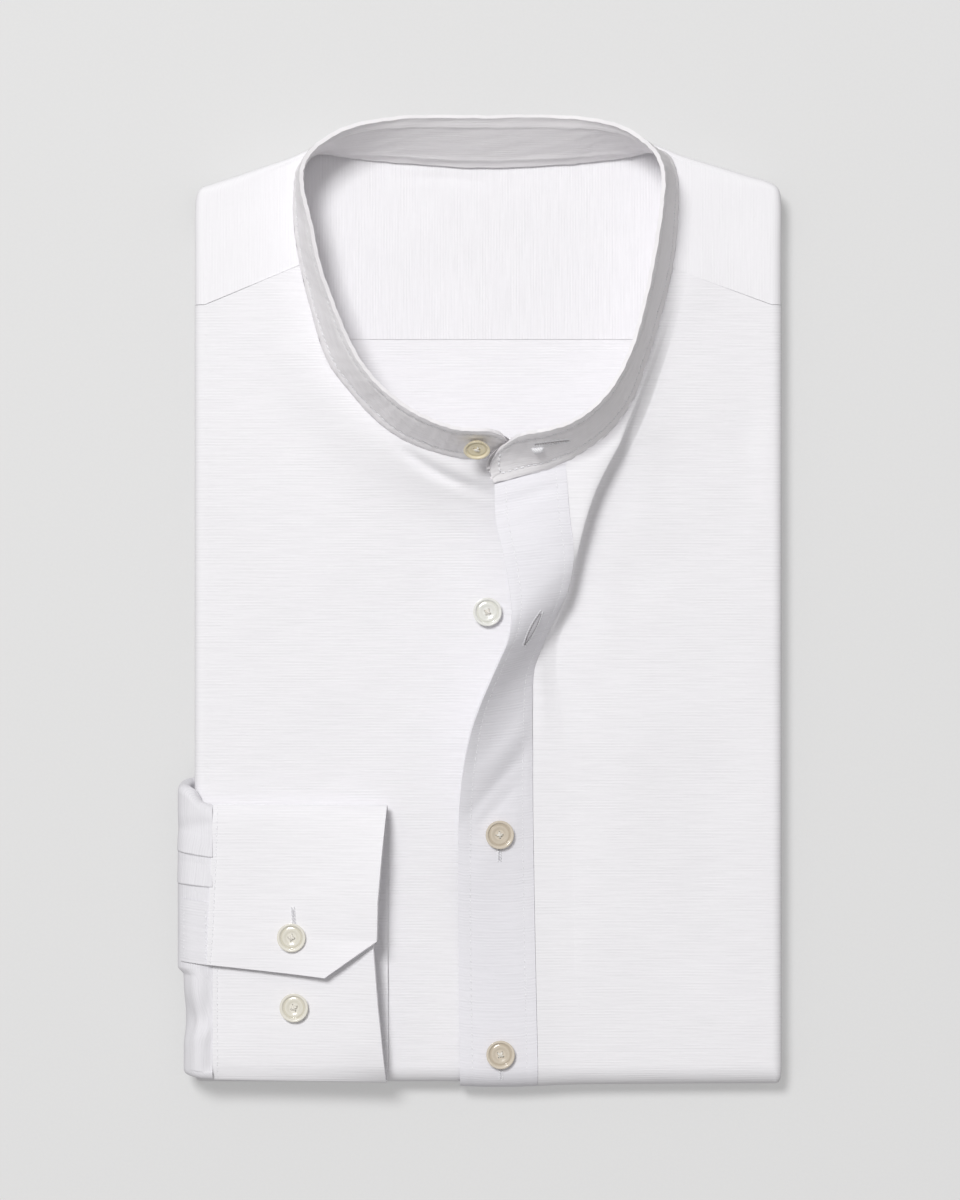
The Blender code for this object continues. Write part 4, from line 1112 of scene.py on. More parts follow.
@dataclass
class YokeLining(Inside):
    """Yoke lining, from the back neck seam down to the seam across the back."""

    name: str = "yoke_lining_cloth"
    nodes: Names = ("yoke_lining",)
    flat: Pair = (0.146, 0.07)
    area: float = 0.0093
    finish: SlubCotton = SlubCotton(name="slub_cotton_lining", lie=Lie.UP)
    top: float = 14.9
    left_x: float = -71.0
    right_x: float = 74.0
    inner_seam: float = 104.0
    # band stations round the back neck, and how far inside their seam it stops
    back_neck: ClassVar[Array] = BAND[10:22]
    neck_gap: float = 0.4
    # shares of the length in which its creases grow and fade
    calm_low: float = 0.06
    calm_high: float = 0.04
    creases: tuple[Crease, ...] = (
        Crease((-34.0, 167.0), (4.0, 165.0), -0.4, 1.6, 1.0),
        Crease((-50.0, 150.0), (-20.0, 120.0), 0.4, 8.0, 3.0),
    )
    waves: Floats = (0.12, 34.0, 0.7)

    def lines(self) -> Arrays:
        """Grid lines across and along the piece."""
        return run((0, 1, 120)), run((0, 1, 60))

    def surface(self, across: Array, along: Array) -> Array:
        """Points of the face that is seen."""
        x = self.left_x + (self.right_x - self.left_x)*across
        high = np.interp(x, self.back_neck[:, 0], self.back_neck[:, 1]) - self.neck_gap
        low = self.inner_seam + SEAM_GAP
        y = low + (high - low)[None, :]*along[:, None]
        x = np.broadcast_to(x[None, :], y.shape)
        calm = ease(along/self.calm_low)*ease((1.0 - along)/self.calm_high)
        return np.stack((x, y, self.top + calm[:, None]*self.uneven(x, y)), axis=-1)


@dataclass
class BackInside(Inside):
    """Inside of the back below the yoke lining."""

    name: str = "back_inside_cloth"
    nodes: Names = ("back_panel",)
    flat: Pair = (0.184, 0.075)
    finish: SlubCotton = SlubCotton(name="slub_cotton_inside")
    top: float = 14.7
    left_x: float = -88.0
    right_x: float = 95.0
    low_y: float = 30.0
    waves: Floats = (0.1, 38.0, 3.0)

    def lines(self) -> Arrays:
        """Grid lines across and along the piece."""
        return run((0, 1, 120)), run((0, 1, 50))

    def surface(self, across: Array, along: Array) -> Array:
        """Points of the face that is seen."""
        x, y = np.meshgrid(self.left_x + (self.right_x - self.left_x)*across,
                           self.low_y + (YokeLining.inner_seam - self.low_y)*along)
        return np.stack((x, y, self.top + self.uneven(x, y)), axis=-1)


@dataclass
class Collar(Panel):
    """Standing collar band, stiff, with its two ends lapped at the front."""

    name: str = "collar_cloth"
    nodes: Names = ("collar",)
    slot: str = "band_cotton"
    wall: float = 1.5
    flat: Pair = (0.46, 0.03)
    area: float = 0.0129
    rests_on: Names = ("yoke", "front_right", "front_left")
    # painted shade: the same cotton tinted warmer and a little darker, standing in for the warm shade on
    # the standing band
    finish: SlubCotton = SlubCotton(name="slub_cotton_band_painted_shade", pale="#F5F3F5", deep="#EAE8EA",
                                    lie=Lie.UP, rib_depth=0.05)
    # how far the buttonhole end curls in and bulges out between its edges, and how far back that reaches
    curl: float = 4.0
    curl_reach: float = 34.0
    bulge: float = 3.0
    bulge_reach: float = 8.0
    # share of the height that the rounding takes off at the very end
    tip_drop: float = 0.6
    # share of the band over which its direction is taken
    out_step: float = 0.002
    # roll of the cloth along both edges: its height, its places up the band and its width
    puff: float = 0.3
    puff_places: Pair = (0.07, 0.93)
    puff_width: float = 0.06
    stitch_size: Pair = (0.8, 0.5)
    stitch_places: Pair = (0.17, 0.83)
    # how far round the band they run; how far up it the line across the tip does, and its place there
    sewn_from: float = 0.002
    sewn_to: float = 0.997
    tip_sewn: Pair = (0.22, 0.78)
    tip_place: float = 0.0085
    groove_width: float = 0.03
    groove_depth: float = 0.42
    # waves across the whole band, and small puckers: height, pitch, turn, and how far they run up it
    buckle: Floats = (0.5, 24.0, 0.4)
    buckle_rise: float = 9.0
    pucker: Floats = (0.2, 6.0, 2.6)
    pucker_rise: float = 24.0

    def lines(self) -> Arrays:
        """Grid lines up the band and round it, finer at its two ends."""
        end = 0.5/LAST_BAND
        return run((0, 1, 48)), run((0, end, 16), (end, 1.0 - end, 354), (1.0 - end, 1, 16))

    def bent(self, share: Array, from_tip: Array, depth: float, reach: float) -> Array:
        """How far the buttonhole end bends between its edges, fading back from the tip."""
        return depth*np.exp(-(from_tip/reach)**2)[:, None]*np.sin(np.pi*share)

    def relief(self, across: Array, along: Array) -> Array:
        """How far the cloth stands out of the band's smooth face: rolls, grooves, waves and puckers."""
        rolls = sum(self.puff*np.exp(-((across - place)/self.puff_width)**2)
                    for place in self.puff_places)
        grooves = sum(stitch_groove(across, place, self.groove_width, self.groove_depth)
                      for place in self.stitch_places)
        up, travel = np.meshgrid(across, along*BAND_LENGTH)
        buckles = rumple(travel, self.buckle_rise*up, *self.buckle)*np.sin(np.pi*across)
        return rolls - grooves + buckles + rumple(travel, self.pucker_rise*up, *self.pucker)

    def surface(self, across: Array, along: Array) -> Array:
        """Points of the outer face: across goes up the band."""
        places = along*LAST_BAND
        band = through(BAND, places)
        from_end = np.minimum(along, 1.0 - along)*BAND_LENGTH
        inward = np.clip(1.0 - from_end/TIP_ROUND, 0.0, 1.0)
        height = 1.0 - self.tip_drop*(1.0 - np.sqrt(1.0 - inward**2))
        share = height[:, None]*across[None, :]
        points = band[:, None, :3] + (band[:, None, 3:] - band[:, None, :3])*share[..., None]
        from_tip = (1.0 - along)*BAND_LENGTH
        points[..., 2] -= self.bent(share, from_tip, self.curl, self.curl_reach)
        points[..., 0] -= self.bent(share, from_tip, self.bulge, self.bulge_reach)
        out = outward(BAND, places, self.out_step*LAST_BAND)
        points[..., :2] += out[:, None]*self.relief(across, along)[..., None]
        return points

    def sewing(self, stitching: Stitching) -> None:
        """Topstitching along the rim, the seam and the rounded tip."""
        for place in self.stitch_places:
            self.sew_along(stitching, place, run((self.sewn_from, self.sewn_to, 380)))
        beside = self.tip_place + np.array((-0.001, 0.0, 0.001))
        tip = self.surface(run((*self.tip_sewn, 30)), 1.0 - beside)
        stitching.add_line(*surface_line(tip))


@dataclass
class Cuff(Panel):
    """Two-button cuff, flattened, with its cut-cornered end lapped over the other."""

    name: str = "cuff_cloth"
    nodes: Names = ("cuff",)
    wall: float = 0.9
    flat: Pair = (0.24, 0.072)
    rests_on: Names = ("front_right",)
    finish: SlubCotton = SlubCotton(name="slub_cotton_cuff")
    # y at the mouth and the sleeve; z at the sleeve; x of the mouth and the sleeve seam; z at the mouth
    rows: ClassVar[Array] = np.array((
        (-144.0, -139.2, 25.6, -60.3, -106.0, 30.6), (-129.5, -127.5, 25.4, -39.9, -105.6, 34.4),
        (-114.5, -113.5, 25.0, -39.6, -105.0, 34.8), (-96.0, -96.0, 24.5, -38.0, -104.3, 32.8),
        (-82.0, -82.5, 23.6, -36.6, -103.9, 27.6), (-77.3, -77.3, 20.6, -36.0, -103.9, 21.8),
        (-82.5, -82.5, 17.1, -35.7, -103.9, 17.4), (-130.0, -130.0, 17.0, -36.0, -103.9, 17.0),
        (-178.6, -178.0, 17.1, -35.7, -103.9, 17.4), (-185.5, -184.4, 19.8, -36.3, -103.9, 20.6),
        (-178.6, -178.0, 22.3, -37.2, -103.9, 27.4), (-155.0, -155.0, 22.5, -39.6, -103.9, 30.6),
        (-132.0, -132.0, 22.3, -41.4, -103.9, 30.8), (-112.0, -112.0, 22.0, -42.4, -103.9, 30.2),
    ))
    # how late the cuff rises towards its mouth
    mouth_power: float = 3.0
    stitch_place: float = 0.028
    groove_width: float = 0.012
    # rows between which its two topstitched stretches run, on the upper layers
    sewn_rows: tuple[Floats, ...] = ((0.0, 5.0), (9.2, 12.2))
    # rows of its two folds; the layer between them runs back
    folds: Pair = (5.0, 9.0)
    # rows between which it lies below, and how soon the waves of its upper side begin
    under_rows: Pair = (4.0, 10.0)
    under_soft: float = 20.0
    waves: Floats = (0.16, 30.0, 4.0)

    def lines(self) -> Arrays:
        """Grid lines from the sleeve to the mouth, and round the tube."""
        return run((0, 0.2, 30), (0.2, 1, 50)), run((0, 1, self.last*14))

    def surface(self, across: Array, along: Array) -> Array:
        """Points of the outer face."""
        places = along*self.last
        ply = through(self.rows, places)
        mouth = np.interp(places, range(len(self.rows)), self.rows[:, 3])[:, None]
        x = ply[:, 4:5] + (mouth - ply[:, 4:5])*across
        y = ply[:, 1:2] + (ply[:, :1] - ply[:, 1:2])*across
        z = ply[:, 2:3] + (ply[:, 5:6] - ply[:, 2:3])*across**self.mouth_power
        start, end = self.under_rows
        upper = (ease((start/self.last - along)*self.under_soft)
                 + ease((along - end/self.last)*self.under_soft))
        groove = stitch_groove(across, self.stitch_place, self.groove_width)
        return np.stack((x, y, z + upper[:, None]*(self.uneven(x, y) - groove)), axis=-1)

    def cloth(self, points: Array) -> Array:
        """Places on the flat cloth: the run at the sleeve seam, with each layer's own y beside it."""
        places = self.lines()[1]*self.last
        way = np.where((places > self.folds[0]) & (places < self.folds[1]), -1.0, 1.0)
        round_tube = lengths(points, 0)[:, :1] + way[:, None]*(points[..., 1] - points[:, :1, 1])
        return np.stack((lengths(points, 1), round_tube), axis=-1)

    def sewing(self, stitching: Stitching) -> None:
        """Topstitching beside the sleeve seam, on the upper layers."""
        for start, end in self.sewn_rows:
            along = run((start/self.last, end/self.last, 120))
            self.sew_along(stitching, self.stitch_place, along, 0.01)


@dataclass
class Sleeve(Panel):
    """Sleeve end, brought from under the fold round the side to its cuff, with two pleats there."""

    name: str = "sleeve_cloth"
    nodes: Names = ("sleeve",)
    ring: bool = True
    flat: Pair = (0.228, 0.036)
    area: float = 0.0067
    rests_on: Names = ("front_right", "folded_body")
    # painted shade: the same cotton tinted greyer, standing in for the shade on the sleeve end
    finish: SlubCotton = SlubCotton(name="slub_cotton_painted_shade_sleeve", pale="#ECEBEF", deep="#E1E0E4",
                                    lie=Lie.UP)
    # outer face x, z; inner face x, z; near and far fold y
    rows: ClassVar[Array] = np.array((
        (-107.6, 3.0, -107.0, 6.6, -181.0, -67.0), (-113.2, 3.5, -111.0, 7.0, -182.0, -67.3),
        (-116.6, 6.2, -112.6, 9.4, -183.0, -67.8), (-118.0, 11.4, -112.9, 12.6, -183.2, -69.0),
        (-117.4, 17.0, -111.9, 15.4, -183.2, -69.8), (-114.0, 21.2, -109.3, 16.9, -183.6, -71.6),
        (-109.8, 23.0, -107.4, 17.1, -184.0, -75.6), (-103.94, 23.3, -103.94, 17.1, -184.2, -77.4),
    ))
    # y of each pleat at the cuff, how far it drops towards the fold, depth
    pleats: tuple[Floats, ...] = ((-97.8, 2.6, 1.1), (-109.4, 1.6, 1.1))
    # width of a pleat, and how steeply its fold rises
    pleat_run: float = 9.0
    pleat_edge: float = 22.0
    # the cloth lies higher on the cuff's lapped side of this y, over a soft step, level near the folds
    step_y: float = -138.5
    step: float = 1.1
    step_soft: float = 4.0
    fold_calm: float = 6.0
    # share of the way to the cuff where pleats, step and creases start, and how soon they are whole
    pleat_start: float = 0.4
    pleat_rise: float = 3.0
    step_start: float = 5.0/6.0
    step_rise: float = 6.0
    crease_start: float = 0.3
    crease_rise: float = 3.0
    # below the placket the sleeve stands further in
    narrow_y: float = -140.5
    narrow: float = 2.3
    narrow_soft: float = 3.5
    narrow_reach: float = 12.0
    creases: tuple[Crease, ...] = (
        Crease((-124.0, -160.0), (-106.0, -163.0), -3.0, 8.0),
        Crease((-120.0, -87.0), (-102.0, -84.0), -0.8, 3.0),
        Crease((-122.0, -170.0), (-101.0, -164.0), 0.9, 4.0),
        Crease((-112.5, -141.0), (-111.0, -184.0), 1.1, 3.2),
    )

    def lines(self) -> Arrays:
        """Grid lines from under the fold to the cuff, and round the flattened ring."""
        return run((0, 1, 56)), run((0, 1, 800))

    def pleat_lift(self, y: Array, across: Array) -> Array:
        """Height of the pleats where the sleeve meets the cuff: each rises slowly and ends in a fold."""
        lift = np.zeros_like(y)
        for place, slant, depth in self.pleats:
            before = (y - place - slant*(1.0 - across)*2.0)/self.pleat_run
            height = depth*ease(before*self.pleat_edge)*(1.0 - before)
            lift += np.where((before >= 0.0) & (before <= 1.0), height, 0.0)
        return lift*ease((across - self.pleat_start)*self.pleat_rise)

    def way_round(self, along: Array, low: Array, high: Array,
                  half: Array) -> tuple[Array, Array, Array]:
        """Way round the flattened ring: up the outer layer, over the far fold and back on the inner one.

        Args:
            along: places round the ring, 0 to 1.
            low: y of the near fold, for each line across.
            high: y of the far fold, for each line across.
            half: half the height of the ring, for each line across.

        Returns:
            y, height from the middle as a share of half, and whether it is on the outer layer.
        """
        straight = high - low - 2.0*half
        travel = (along % 1.0)[:, None]*2.0*(straight + math.pi*half)[None, :]
        on_outer = travel < straight + math.pi*half
        travel = np.where(on_outer, travel, travel - straight - math.pi*half)
        angle = np.clip((travel - straight)/half, 0.0, None)
        forward = np.minimum(travel, straight) + half*np.sin(angle)
        y = np.where(on_outer, low + half + forward, high - half - forward)
        return y, np.where(on_outer, np.cos(angle), -np.cos(angle)), on_outer

    def surface(self, across: Array, along: Array) -> Array:
        """Points of the outer face."""
        tube = through(self.rows, across*self.last)
        outer, inner, low, high = tube[:, :2], tube[:, 2:4], tube[:, 4], tube[:, 5]
        half = np.linalg.norm(outer - inner, axis=1)/2.0
        y, share, on_outer = self.way_round(along, low, high, half)
        creased = self.uneven(np.broadcast_to(outer[:, 0], y.shape), y)
        creased = creased*ease((across - self.crease_start)*self.crease_rise)
        level = self.step*(2.0*ease((y - self.step_y)/self.step_soft + 0.5) - 1.0)
        level = level*ease((across - self.step_start)*self.step_rise)
        level = level*ease((y - low)/self.fold_calm)*ease((high - y)/self.fold_calm)
        raised = self.pleat_lift(y, across[None, :]) + creased + level
        reach = half*share + np.where(on_outer, raised, 0.0)
        middle = (outer + inner)/2.0
        spot = middle + (outer - middle)/half[:, None]*reach[..., None]
        far = np.clip((self.rows[-1, 0] - spot[..., 0])/self.narrow_reach, 0.0, 1.0)
        x = spot[..., 0] + self.narrow*ease((self.narrow_y - y)/self.narrow_soft)*far
        return np.stack((x, y, spot[..., 1]), axis=-1)


@dataclass
class SleevePlacket(Panel):
    """Narrow placket on the sleeve beside the cuff."""

    name: str = "sleeve_placket_cloth"
    nodes: Names = ("sleeve_placket",)
    wall: float = 0.5
    flat: Pair = (0.0125, 0.0245)
    rests_on: Names = ("sleeve",)
    # painted shade: the cotton tinted greyer, as on the sleeve, standing in for the shade there
    finish: SlubCotton = SlubCotton(name="slub_cotton_painted_shade_sleeve_placket", pale="#ECEBEF", deep="#E1E0E4")
    low_x: float = -116.6
    high_x: float = -104.6
    foot_y: float = -138.0
    head_y: float = -113.6
    # how much lower it lies at the cuff
    slant: float = 1.5
    lift: float = 1.3
    # rows of the sleeve that it lies on
    sleeve_rows: ClassVar[Array] = run((3.0, 7.0, 199))
    stitch_size: Pair = (0.4, 0.16)
    stitch_places: Pair = (0.12, 0.85)

    def lines(self) -> Arrays:
        """Grid lines across and along the strip."""
        return run((0, 1, 20)), run((0, 1, 30))

    def surface(self, across: Array, along: Array) -> Array:
        """Points of the outer face, the sleeve's own points moved out."""
        x = self.low_x + (self.high_x - self.low_x)*across[None, :]
        y = self.foot_y + (self.head_y - self.foot_y)*along[:, None] - self.slant*across[None, :]
        outer = through(Sleeve.rows, self.sleeve_rows)
        z = np.interp(x, outer[:, 0], outer[:, 1]) + self.lift
        return np.stack(np.broadcast_arrays(x, y, z), axis=-1)

    def sewing(self, stitching: Stitching) -> None:
        """Topstitching inside both long edges."""
        for place in self.stitch_places:
            self.sew_along(stitching, place, run((0.05, 0.95, 20)))


@dataclass
class HiddenLayers:
    """Layers folded out of sight under the fronts, seen round the edge as a stack of soft folds."""

    name: str = "folded_layers"
    finish: SlubCotton = SlubCotton(name="slub_cotton_folded")
    left: float = -111.4
    right: float = 117.8
    foot: float = -187.2
    shoulder_y: float = 160.0
    neck_y: float = 178.0
    left_shoulder_x: float = -68.0
    right_shoulder_x: float = 73.5
    notch_y: float = -61.0
    notch_rise: float = 6.0
    # height; how far in at the side, top and foot; depth of the notch that the sleeve comes out of
    layers: ClassVar[Array] = np.array((
        (0.0, 2.4, 13.0, 10.6, 7.0), (0.7, 1.1, 11.8, 10.2, 8.0), (2.0, 0.5, 11.2, 10.0, 9.0),
        (3.6, 0.3, 11.0, 10.0, 9.0), (5.2, 0.8, 11.4, 10.0, 9.0), (6.3, 2.4, 12.6, 10.4, 9.0),
        (6.8, 4.6, 13.6, 10.6, 6.0), (7.4, 5.2, 9.0, 10.6, 4.0), (8.2, 6.0, 8.0, 10.6, 1.0),
        (12.4, 6.0, 7.6, 10.6, 0.0), (13.2, 8.0, 9.6, 12.0, 0.0),
    ))
    # how far back from each corner its rounding starts, steps round a corner and along an edge
    corner: float = 3.0
    corner_steps: int = 7
    edge_steps: int = 31
    # height of a ply, how deep the groove between two is, how far the plies wander in and how soon
    ply_pitch: float = 1.15
    ply_depth: float = 0.35
    ply_wander: float = 0.25
    ply_start: float = 0.8
    centre: Pair = (3.0, 0.0)

    def corners(self, layer: Array) -> tuple[float, list[Array]]:
        """Height and corners of the layers at one row of the table."""
        height, side, top, foot, notch = layer
        left, right, low = self.left + side, self.right - side, self.foot + foot
        return height, [np.array(corner) for corner in (
            (left + notch, low), (right, low), (right, self.shoulder_y - top),
            (self.right_shoulder_x, self.neck_y - top), (self.left_shoulder_x, self.neck_y - top),
            (left, self.shoulder_y - top), (left, self.notch_y),
            (left + notch, self.notch_y - self.notch_rise),
        )]

    def short_of(self, corner: Array, towards: Array) -> Array:
        """Point a little way from a corner towards another, where its rounding ends."""
        return corner + (towards - corner)/np.linalg.norm(towards - corner)*self.corner

    def loop(self, layer: Array) -> Array:
        """Edge of the layers at one height, with rounded corners: array (points, 3)."""
        height, corners = self.corners(layer)
        points = []
        for index, here in enumerate(corners):
            before, after = corners[index - 1], corners[(index + 1) % len(corners)]
            start, end = self.short_of(here, before), self.short_of(here, after)
            for share in run((0.0, 1.0, self.corner_steps)):
                lead, tail = start + (here - start)*share, here + (end - here)*share
                points.append(lead*(1.0 - share) + tail*share)
            following = self.short_of(after, here)
            points += [end + (following - end)*share for share in run((0.0, 1.0, self.edge_steps))[1:-1]]
        return np.column_stack((points, np.full(len(points), height)))

    def edge(self) -> Array:
        """Edges of the stack from the ground up, sunk between its plies: array (rows, points, 3)."""
        rows = through(self.layers, run((0, len(self.layers) - 1, 70)))
        rows[:, 0] = np.clip(rows[:, 0], 0.0, self.layers[-1, 0])
        loops = np.array([self.loop(row) for row in rows])
        inward = unit(np.array(self.centre) - loops[..., :2])
        ply = np.abs(np.sin(np.pi*loops[..., 2]/self.ply_pitch))
        wander = np.clip(rumple(loops[..., 0], loops[..., 1], 0.5, 60.0), 0.0, 1.0)
        sunk = self.ply_depth*(1.0 - ply) + self.ply_wander*wander
        loops[..., :2] += inward*(sunk*ease(loops[..., 2]/self.ply_start))[..., None]
        return np.concatenate((loops, loops[:, :1]), axis=1)

    def build(self) -> bpy.types.Object:
        """Builds the stack as one closed piece."""
        edge = self.edge()
        cloth = np.stack((lengths(edge, 1), lengths(edge, 0)), axis=-1)
        item = cloth_grid(self.name, edge, cloth, 0.0, self.finish.material())
        with editing(item):
            bpy.ops.mesh.remove_doubles(threshold=MERGE)
            bpy.ops.mesh.select_all(action="DESELECT")
            bpy.ops.mesh.select_non_manifold()
            bpy.ops.mesh.fill_holes(sides=0)
            bpy.ops.mesh.select_all(action="SELECT")
            bpy.ops.mesh.normals_make_consistent(inside=False)
        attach(item, "root")
        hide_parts("folded_body")
        LOG.info("built %s", self.name)
        return item


# How far the buttons lean with the placket and the cuff, and the collar's is tilted, in degrees
FRONT_LEAN, CUFF_LEAN, COLLAR_TILT = 8.0, -3.5, 50.0
BUTTON_DIAMETER = 11.2
COLLAR_BUTTON_SIZE = 10.4/BUTTON_DIAMETER


@dataclass(frozen=True)
class ButtonPlace:
    """Where a button sits: the middle of its underside, its angles, its node and its resin.

    tilt and lean are in degrees, turn in radians, and size is the share of the usual diameter.
    """

    name: str
    node: str
    x: float
    y: float
    z: float
    tilt: float = 0.0
    lean: float = 0.0
    turn: float = 0.0
    resin: PearlResin = IVORY_RESIN
    size: float = 1.0


@dataclass
class Buttons:
    """Four-hole resin buttons, 11.2 mm across, with a raised rim, sewn through with thread."""

    diameter: float = BUTTON_DIAMETER
    thickness: float = 2.2
    hole_spacing: float = 1.7
    hole_diameter: float = 0.7
    # rings of the top face, from the edge in: width and how far it drops
    steps: tuple[Pair, ...] = (
        (0.85, 0.0), (0.4, 0.6), (0.3, 0.12), (0.6, -0.22), (0.7, 0.05), (0.5, 0.16), (0.6, 0.06),
    )
    # share of the diameter that the underside rests on, and the rounding of the edges
    base_share: float = 0.72
    edge_width: float = 0.28
    edge_angle: float = 28.0
    # height of the lower thread, how much higher the crossing one lies, and the gap between strands
    thread_level: float = 1.72
    thread_step: float = 0.3
    strand_gap: float = 0.4
    # strand's width and height, how much longer it is than the way between its holes, and half's room
    strand_size: Pair = (0.6, 0.5)
    strand_over: float = 0.4
    strand_room: float = 0.21
    places: tuple[ButtonPlace, ...] = (
        ButtonPlace("front_button_1", "button_front_1", 2.9, -2.3, FRONT_TOP + 0.9, turn=0.3,
                    resin=WHITE_RESIN),
        ButtonPlace("front_button_2", "button_front_2", 7.4, -88.9, 21.7, lean=FRONT_LEAN, turn=0.9,
                    resin=BEIGE_RESIN),
        ButtonPlace("front_button_3", "button_front_3", 8.0, -174.6, 19.2, turn=0.2, resin=BEIGE_RESIN),
        ButtonPlace("cuff_button_1", "button_cuff_1", -73.0, -128.5, 26.6, lean=CUFF_LEAN, turn=0.6),
        ButtonPlace("cuff_button_2", "button_cuff_2", -72.1, -155.9, 23.9, lean=CUFF_LEAN, turn=1.2),
        ButtonPlace("collar_button", "button_collar", -1.2, 61.4, 42.0, tilt=COLLAR_TILT, turn=0.4,
                    resin=CREAM_RESIN, size=COLLAR_BUTTON_SIZE),
    )

    def select_end(self, item: bpy.types.Object, end: Callable) -> None:
        """Selects the top or bottom face alone: end is max or min."""
        with editing(item):
            bpy.ops.mesh.select_mode(type="FACE")
            bpy.ops.mesh.select_all(action="DESELECT")
        end(item.data.polygons, key=lambda face: face.center.z).select = True
        select(item)

    def blank(self) -> bpy.types.Mesh:
        """Models one button at the origin and returns its mesh."""
        deselect()
        bpy.ops.mesh.primitive_cylinder_add(
            vertices=64, radius=self.diameter/2.0*MM, depth=self.thickness*MM,
            location=(0.0, 0.0, self.thickness*MM/2.0))
        item = bpy.context.active_object
        self.select_end(item, max)
        bpy.ops.object.mode_set(mode="EDIT")
        for inset, sink in self.steps:
            bpy.ops.mesh.inset(thickness=inset*MM, depth=-sink*MM)
        bpy.ops.object.mode_set(mode="OBJECT")
        self.select_end(item, min)
        bpy.ops.object.mode_set(mode="EDIT")
        bpy.ops.transform.resize(value=(self.base_share, self.base_share, 1.0))
        bpy.ops.object.mode_set(mode="OBJECT")
        place_in_mesh(item)
        bevel = item.modifiers.new("edges", "BEVEL")
        bevel.width = self.edge_width*MM
        bevel.segments = 3
        bevel.limit_method = "ANGLE"
        bevel.angle_limit = math.radians(self.edge_angle)
        apply_all(item)
        self.drill(item)
        mesh = item.data
        bpy.data.objects.remove(item)
        shade(mesh, 40.0)
        self.map_disc(mesh)
        return mesh

    def drill(self, item: bpy.types.Object) -> None:
        """Cuts the four holes."""
        reach = self.hole_spacing/2.0*MM
        for x, y in ((-reach, -reach), (-reach, reach), (reach, -reach), (reach, reach)):
            deselect()
            bpy.ops.mesh.primitive_cylinder_add(
                vertices=20, radius=self.hole_diameter/2.0*MM, depth=4.0*self.thickness*MM,
                location=(x, y, 0.0))
            drill = bpy.context.active_object
            cut = item.modifiers.new("hole", "BOOLEAN")
            cut.operation = "DIFFERENCE"
            cut.object = drill
            apply_all(item)
            bpy.data.objects.remove(drill)

    def map_disc(self, mesh: bpy.types.Mesh) -> None:
        """Maps each corner by its distance from the button's middle, as a share of the radius."""
        radius = self.diameter/2.0*MM
        disc = mesh.uv_layers.get("disc") or mesh.uv_layers.new(name="disc")
        for loop in mesh.loops:
            place = mesh.vertices[loop.vertex_index].co
            disc.data[loop.index].uv = (math.hypot(place.x, place.y)/radius, place.y/radius)

    def thread(self) -> Stitching:
        """Thread crossed over the middle of a button, two strands each way, through its holes."""
        reach = self.hole_spacing*math.sqrt(0.5)
        width, height = self.strand_size
        sewing = Stitching("thread", length=2.0*reach + self.strand_over, gap=0.0, width=width,
                           height=height, finish=Thread("button_thread", "#F0EDE6", "#DDD8CC"))
        up = np.array(((0.0, 0.0, 1.0), (0.0, 0.0, 1.0)))
        # a little longer than the stitch, so that a whole one fits
        half = (reach + self.strand_room)*math.sqrt(0.5)
        shift = self.strand_gap/2.0*math.sqrt(0.5)
        for lean, level in ((1.0, self.thread_level), (-1.0, self.thread_level + self.thread_step)):
            for strand in (-shift, shift):
                middle = np.array((strand, -lean*strand, level))
                end = np.array((half, lean*half, 0.0))
                sewing.add_line(np.array((middle - end, middle + end)), up)
        return sewing

    def build(self) -> None:
        """Places a copy of the button, with its thread, at each of its places."""
        mesh = self.blank()
        thread = self.thread().build()
        for place in self.places:
            matrix = (Matrix.Translation(Vector((place.x, place.y, place.z))*MM)
                      @ Matrix.Rotation(math.radians(place.tilt), 4, "X")
                      @ Matrix.Rotation(math.radians(place.lean), 4, "Y")
                      @ Matrix.Rotation(place.turn, 4, "Z")
                      @ Matrix.Diagonal((place.size, place.size, 1.0, 1.0)))
            for name, source, slot in ((place.name, mesh, "button"),
                                       (place.name + "_thread", thread.data, "shirt_cotton")):
                copy = source.copy()
                copy.transform(matrix)
                item = add_object(name, copy)
                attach(item, "root")
                if source is mesh:
                    copy.materials.clear()
                    copy.materials.append(place.resin.material())
                    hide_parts(place.node)
        bpy.data.objects.remove(thread)
        LOG.info("built buttons")


class Ground:
    """Outer face of a cloth piece as points and normals, to lay buttonholes on."""

    # share of a normal that points up where the cloth counts as its upper side
    upward = 0.2
    # how many of the nearest points are looked at, and how many of them on the upper layer are averaged
    near, averaged = 40, 12

    def __init__(self, panel: Panel, fall: float) -> None:
        """Works out the face of a panel.

        Args:
            panel: the cloth piece.
            fall: points further than this below the highest one nearby are on a layer below.
        """
        points = panel.surface(*panel.lines())
        normals = unit(np.cross(np.gradient(points, axis=1), np.gradient(points, axis=0)))
        upper = normals[..., 2] > self.upward
        self.points, self.normals, self.fall = points[upper], normals[upper], fall

    def at(self, x: float, y: float) -> Arrays:
        """Point and normal at a place of the plan, on the upper layer there."""
        gaps = (self.points[:, 0] - x)**2 + (self.points[:, 1] - y)**2
        near = np.argsort(gaps)[:self.near]
        heights = self.points[near, 2]
        top = near[heights > heights.max() - self.fall][:self.averaged]
        normal = self.normals[top].mean(0)
        normal /= np.linalg.norm(normal)
        middle = self.points[top].mean(0)
        height = middle[2] - ((x - middle[0])*normal[0] + (y - middle[1])*normal[1])/normal[2]
        return np.array((x, y, height)), normal


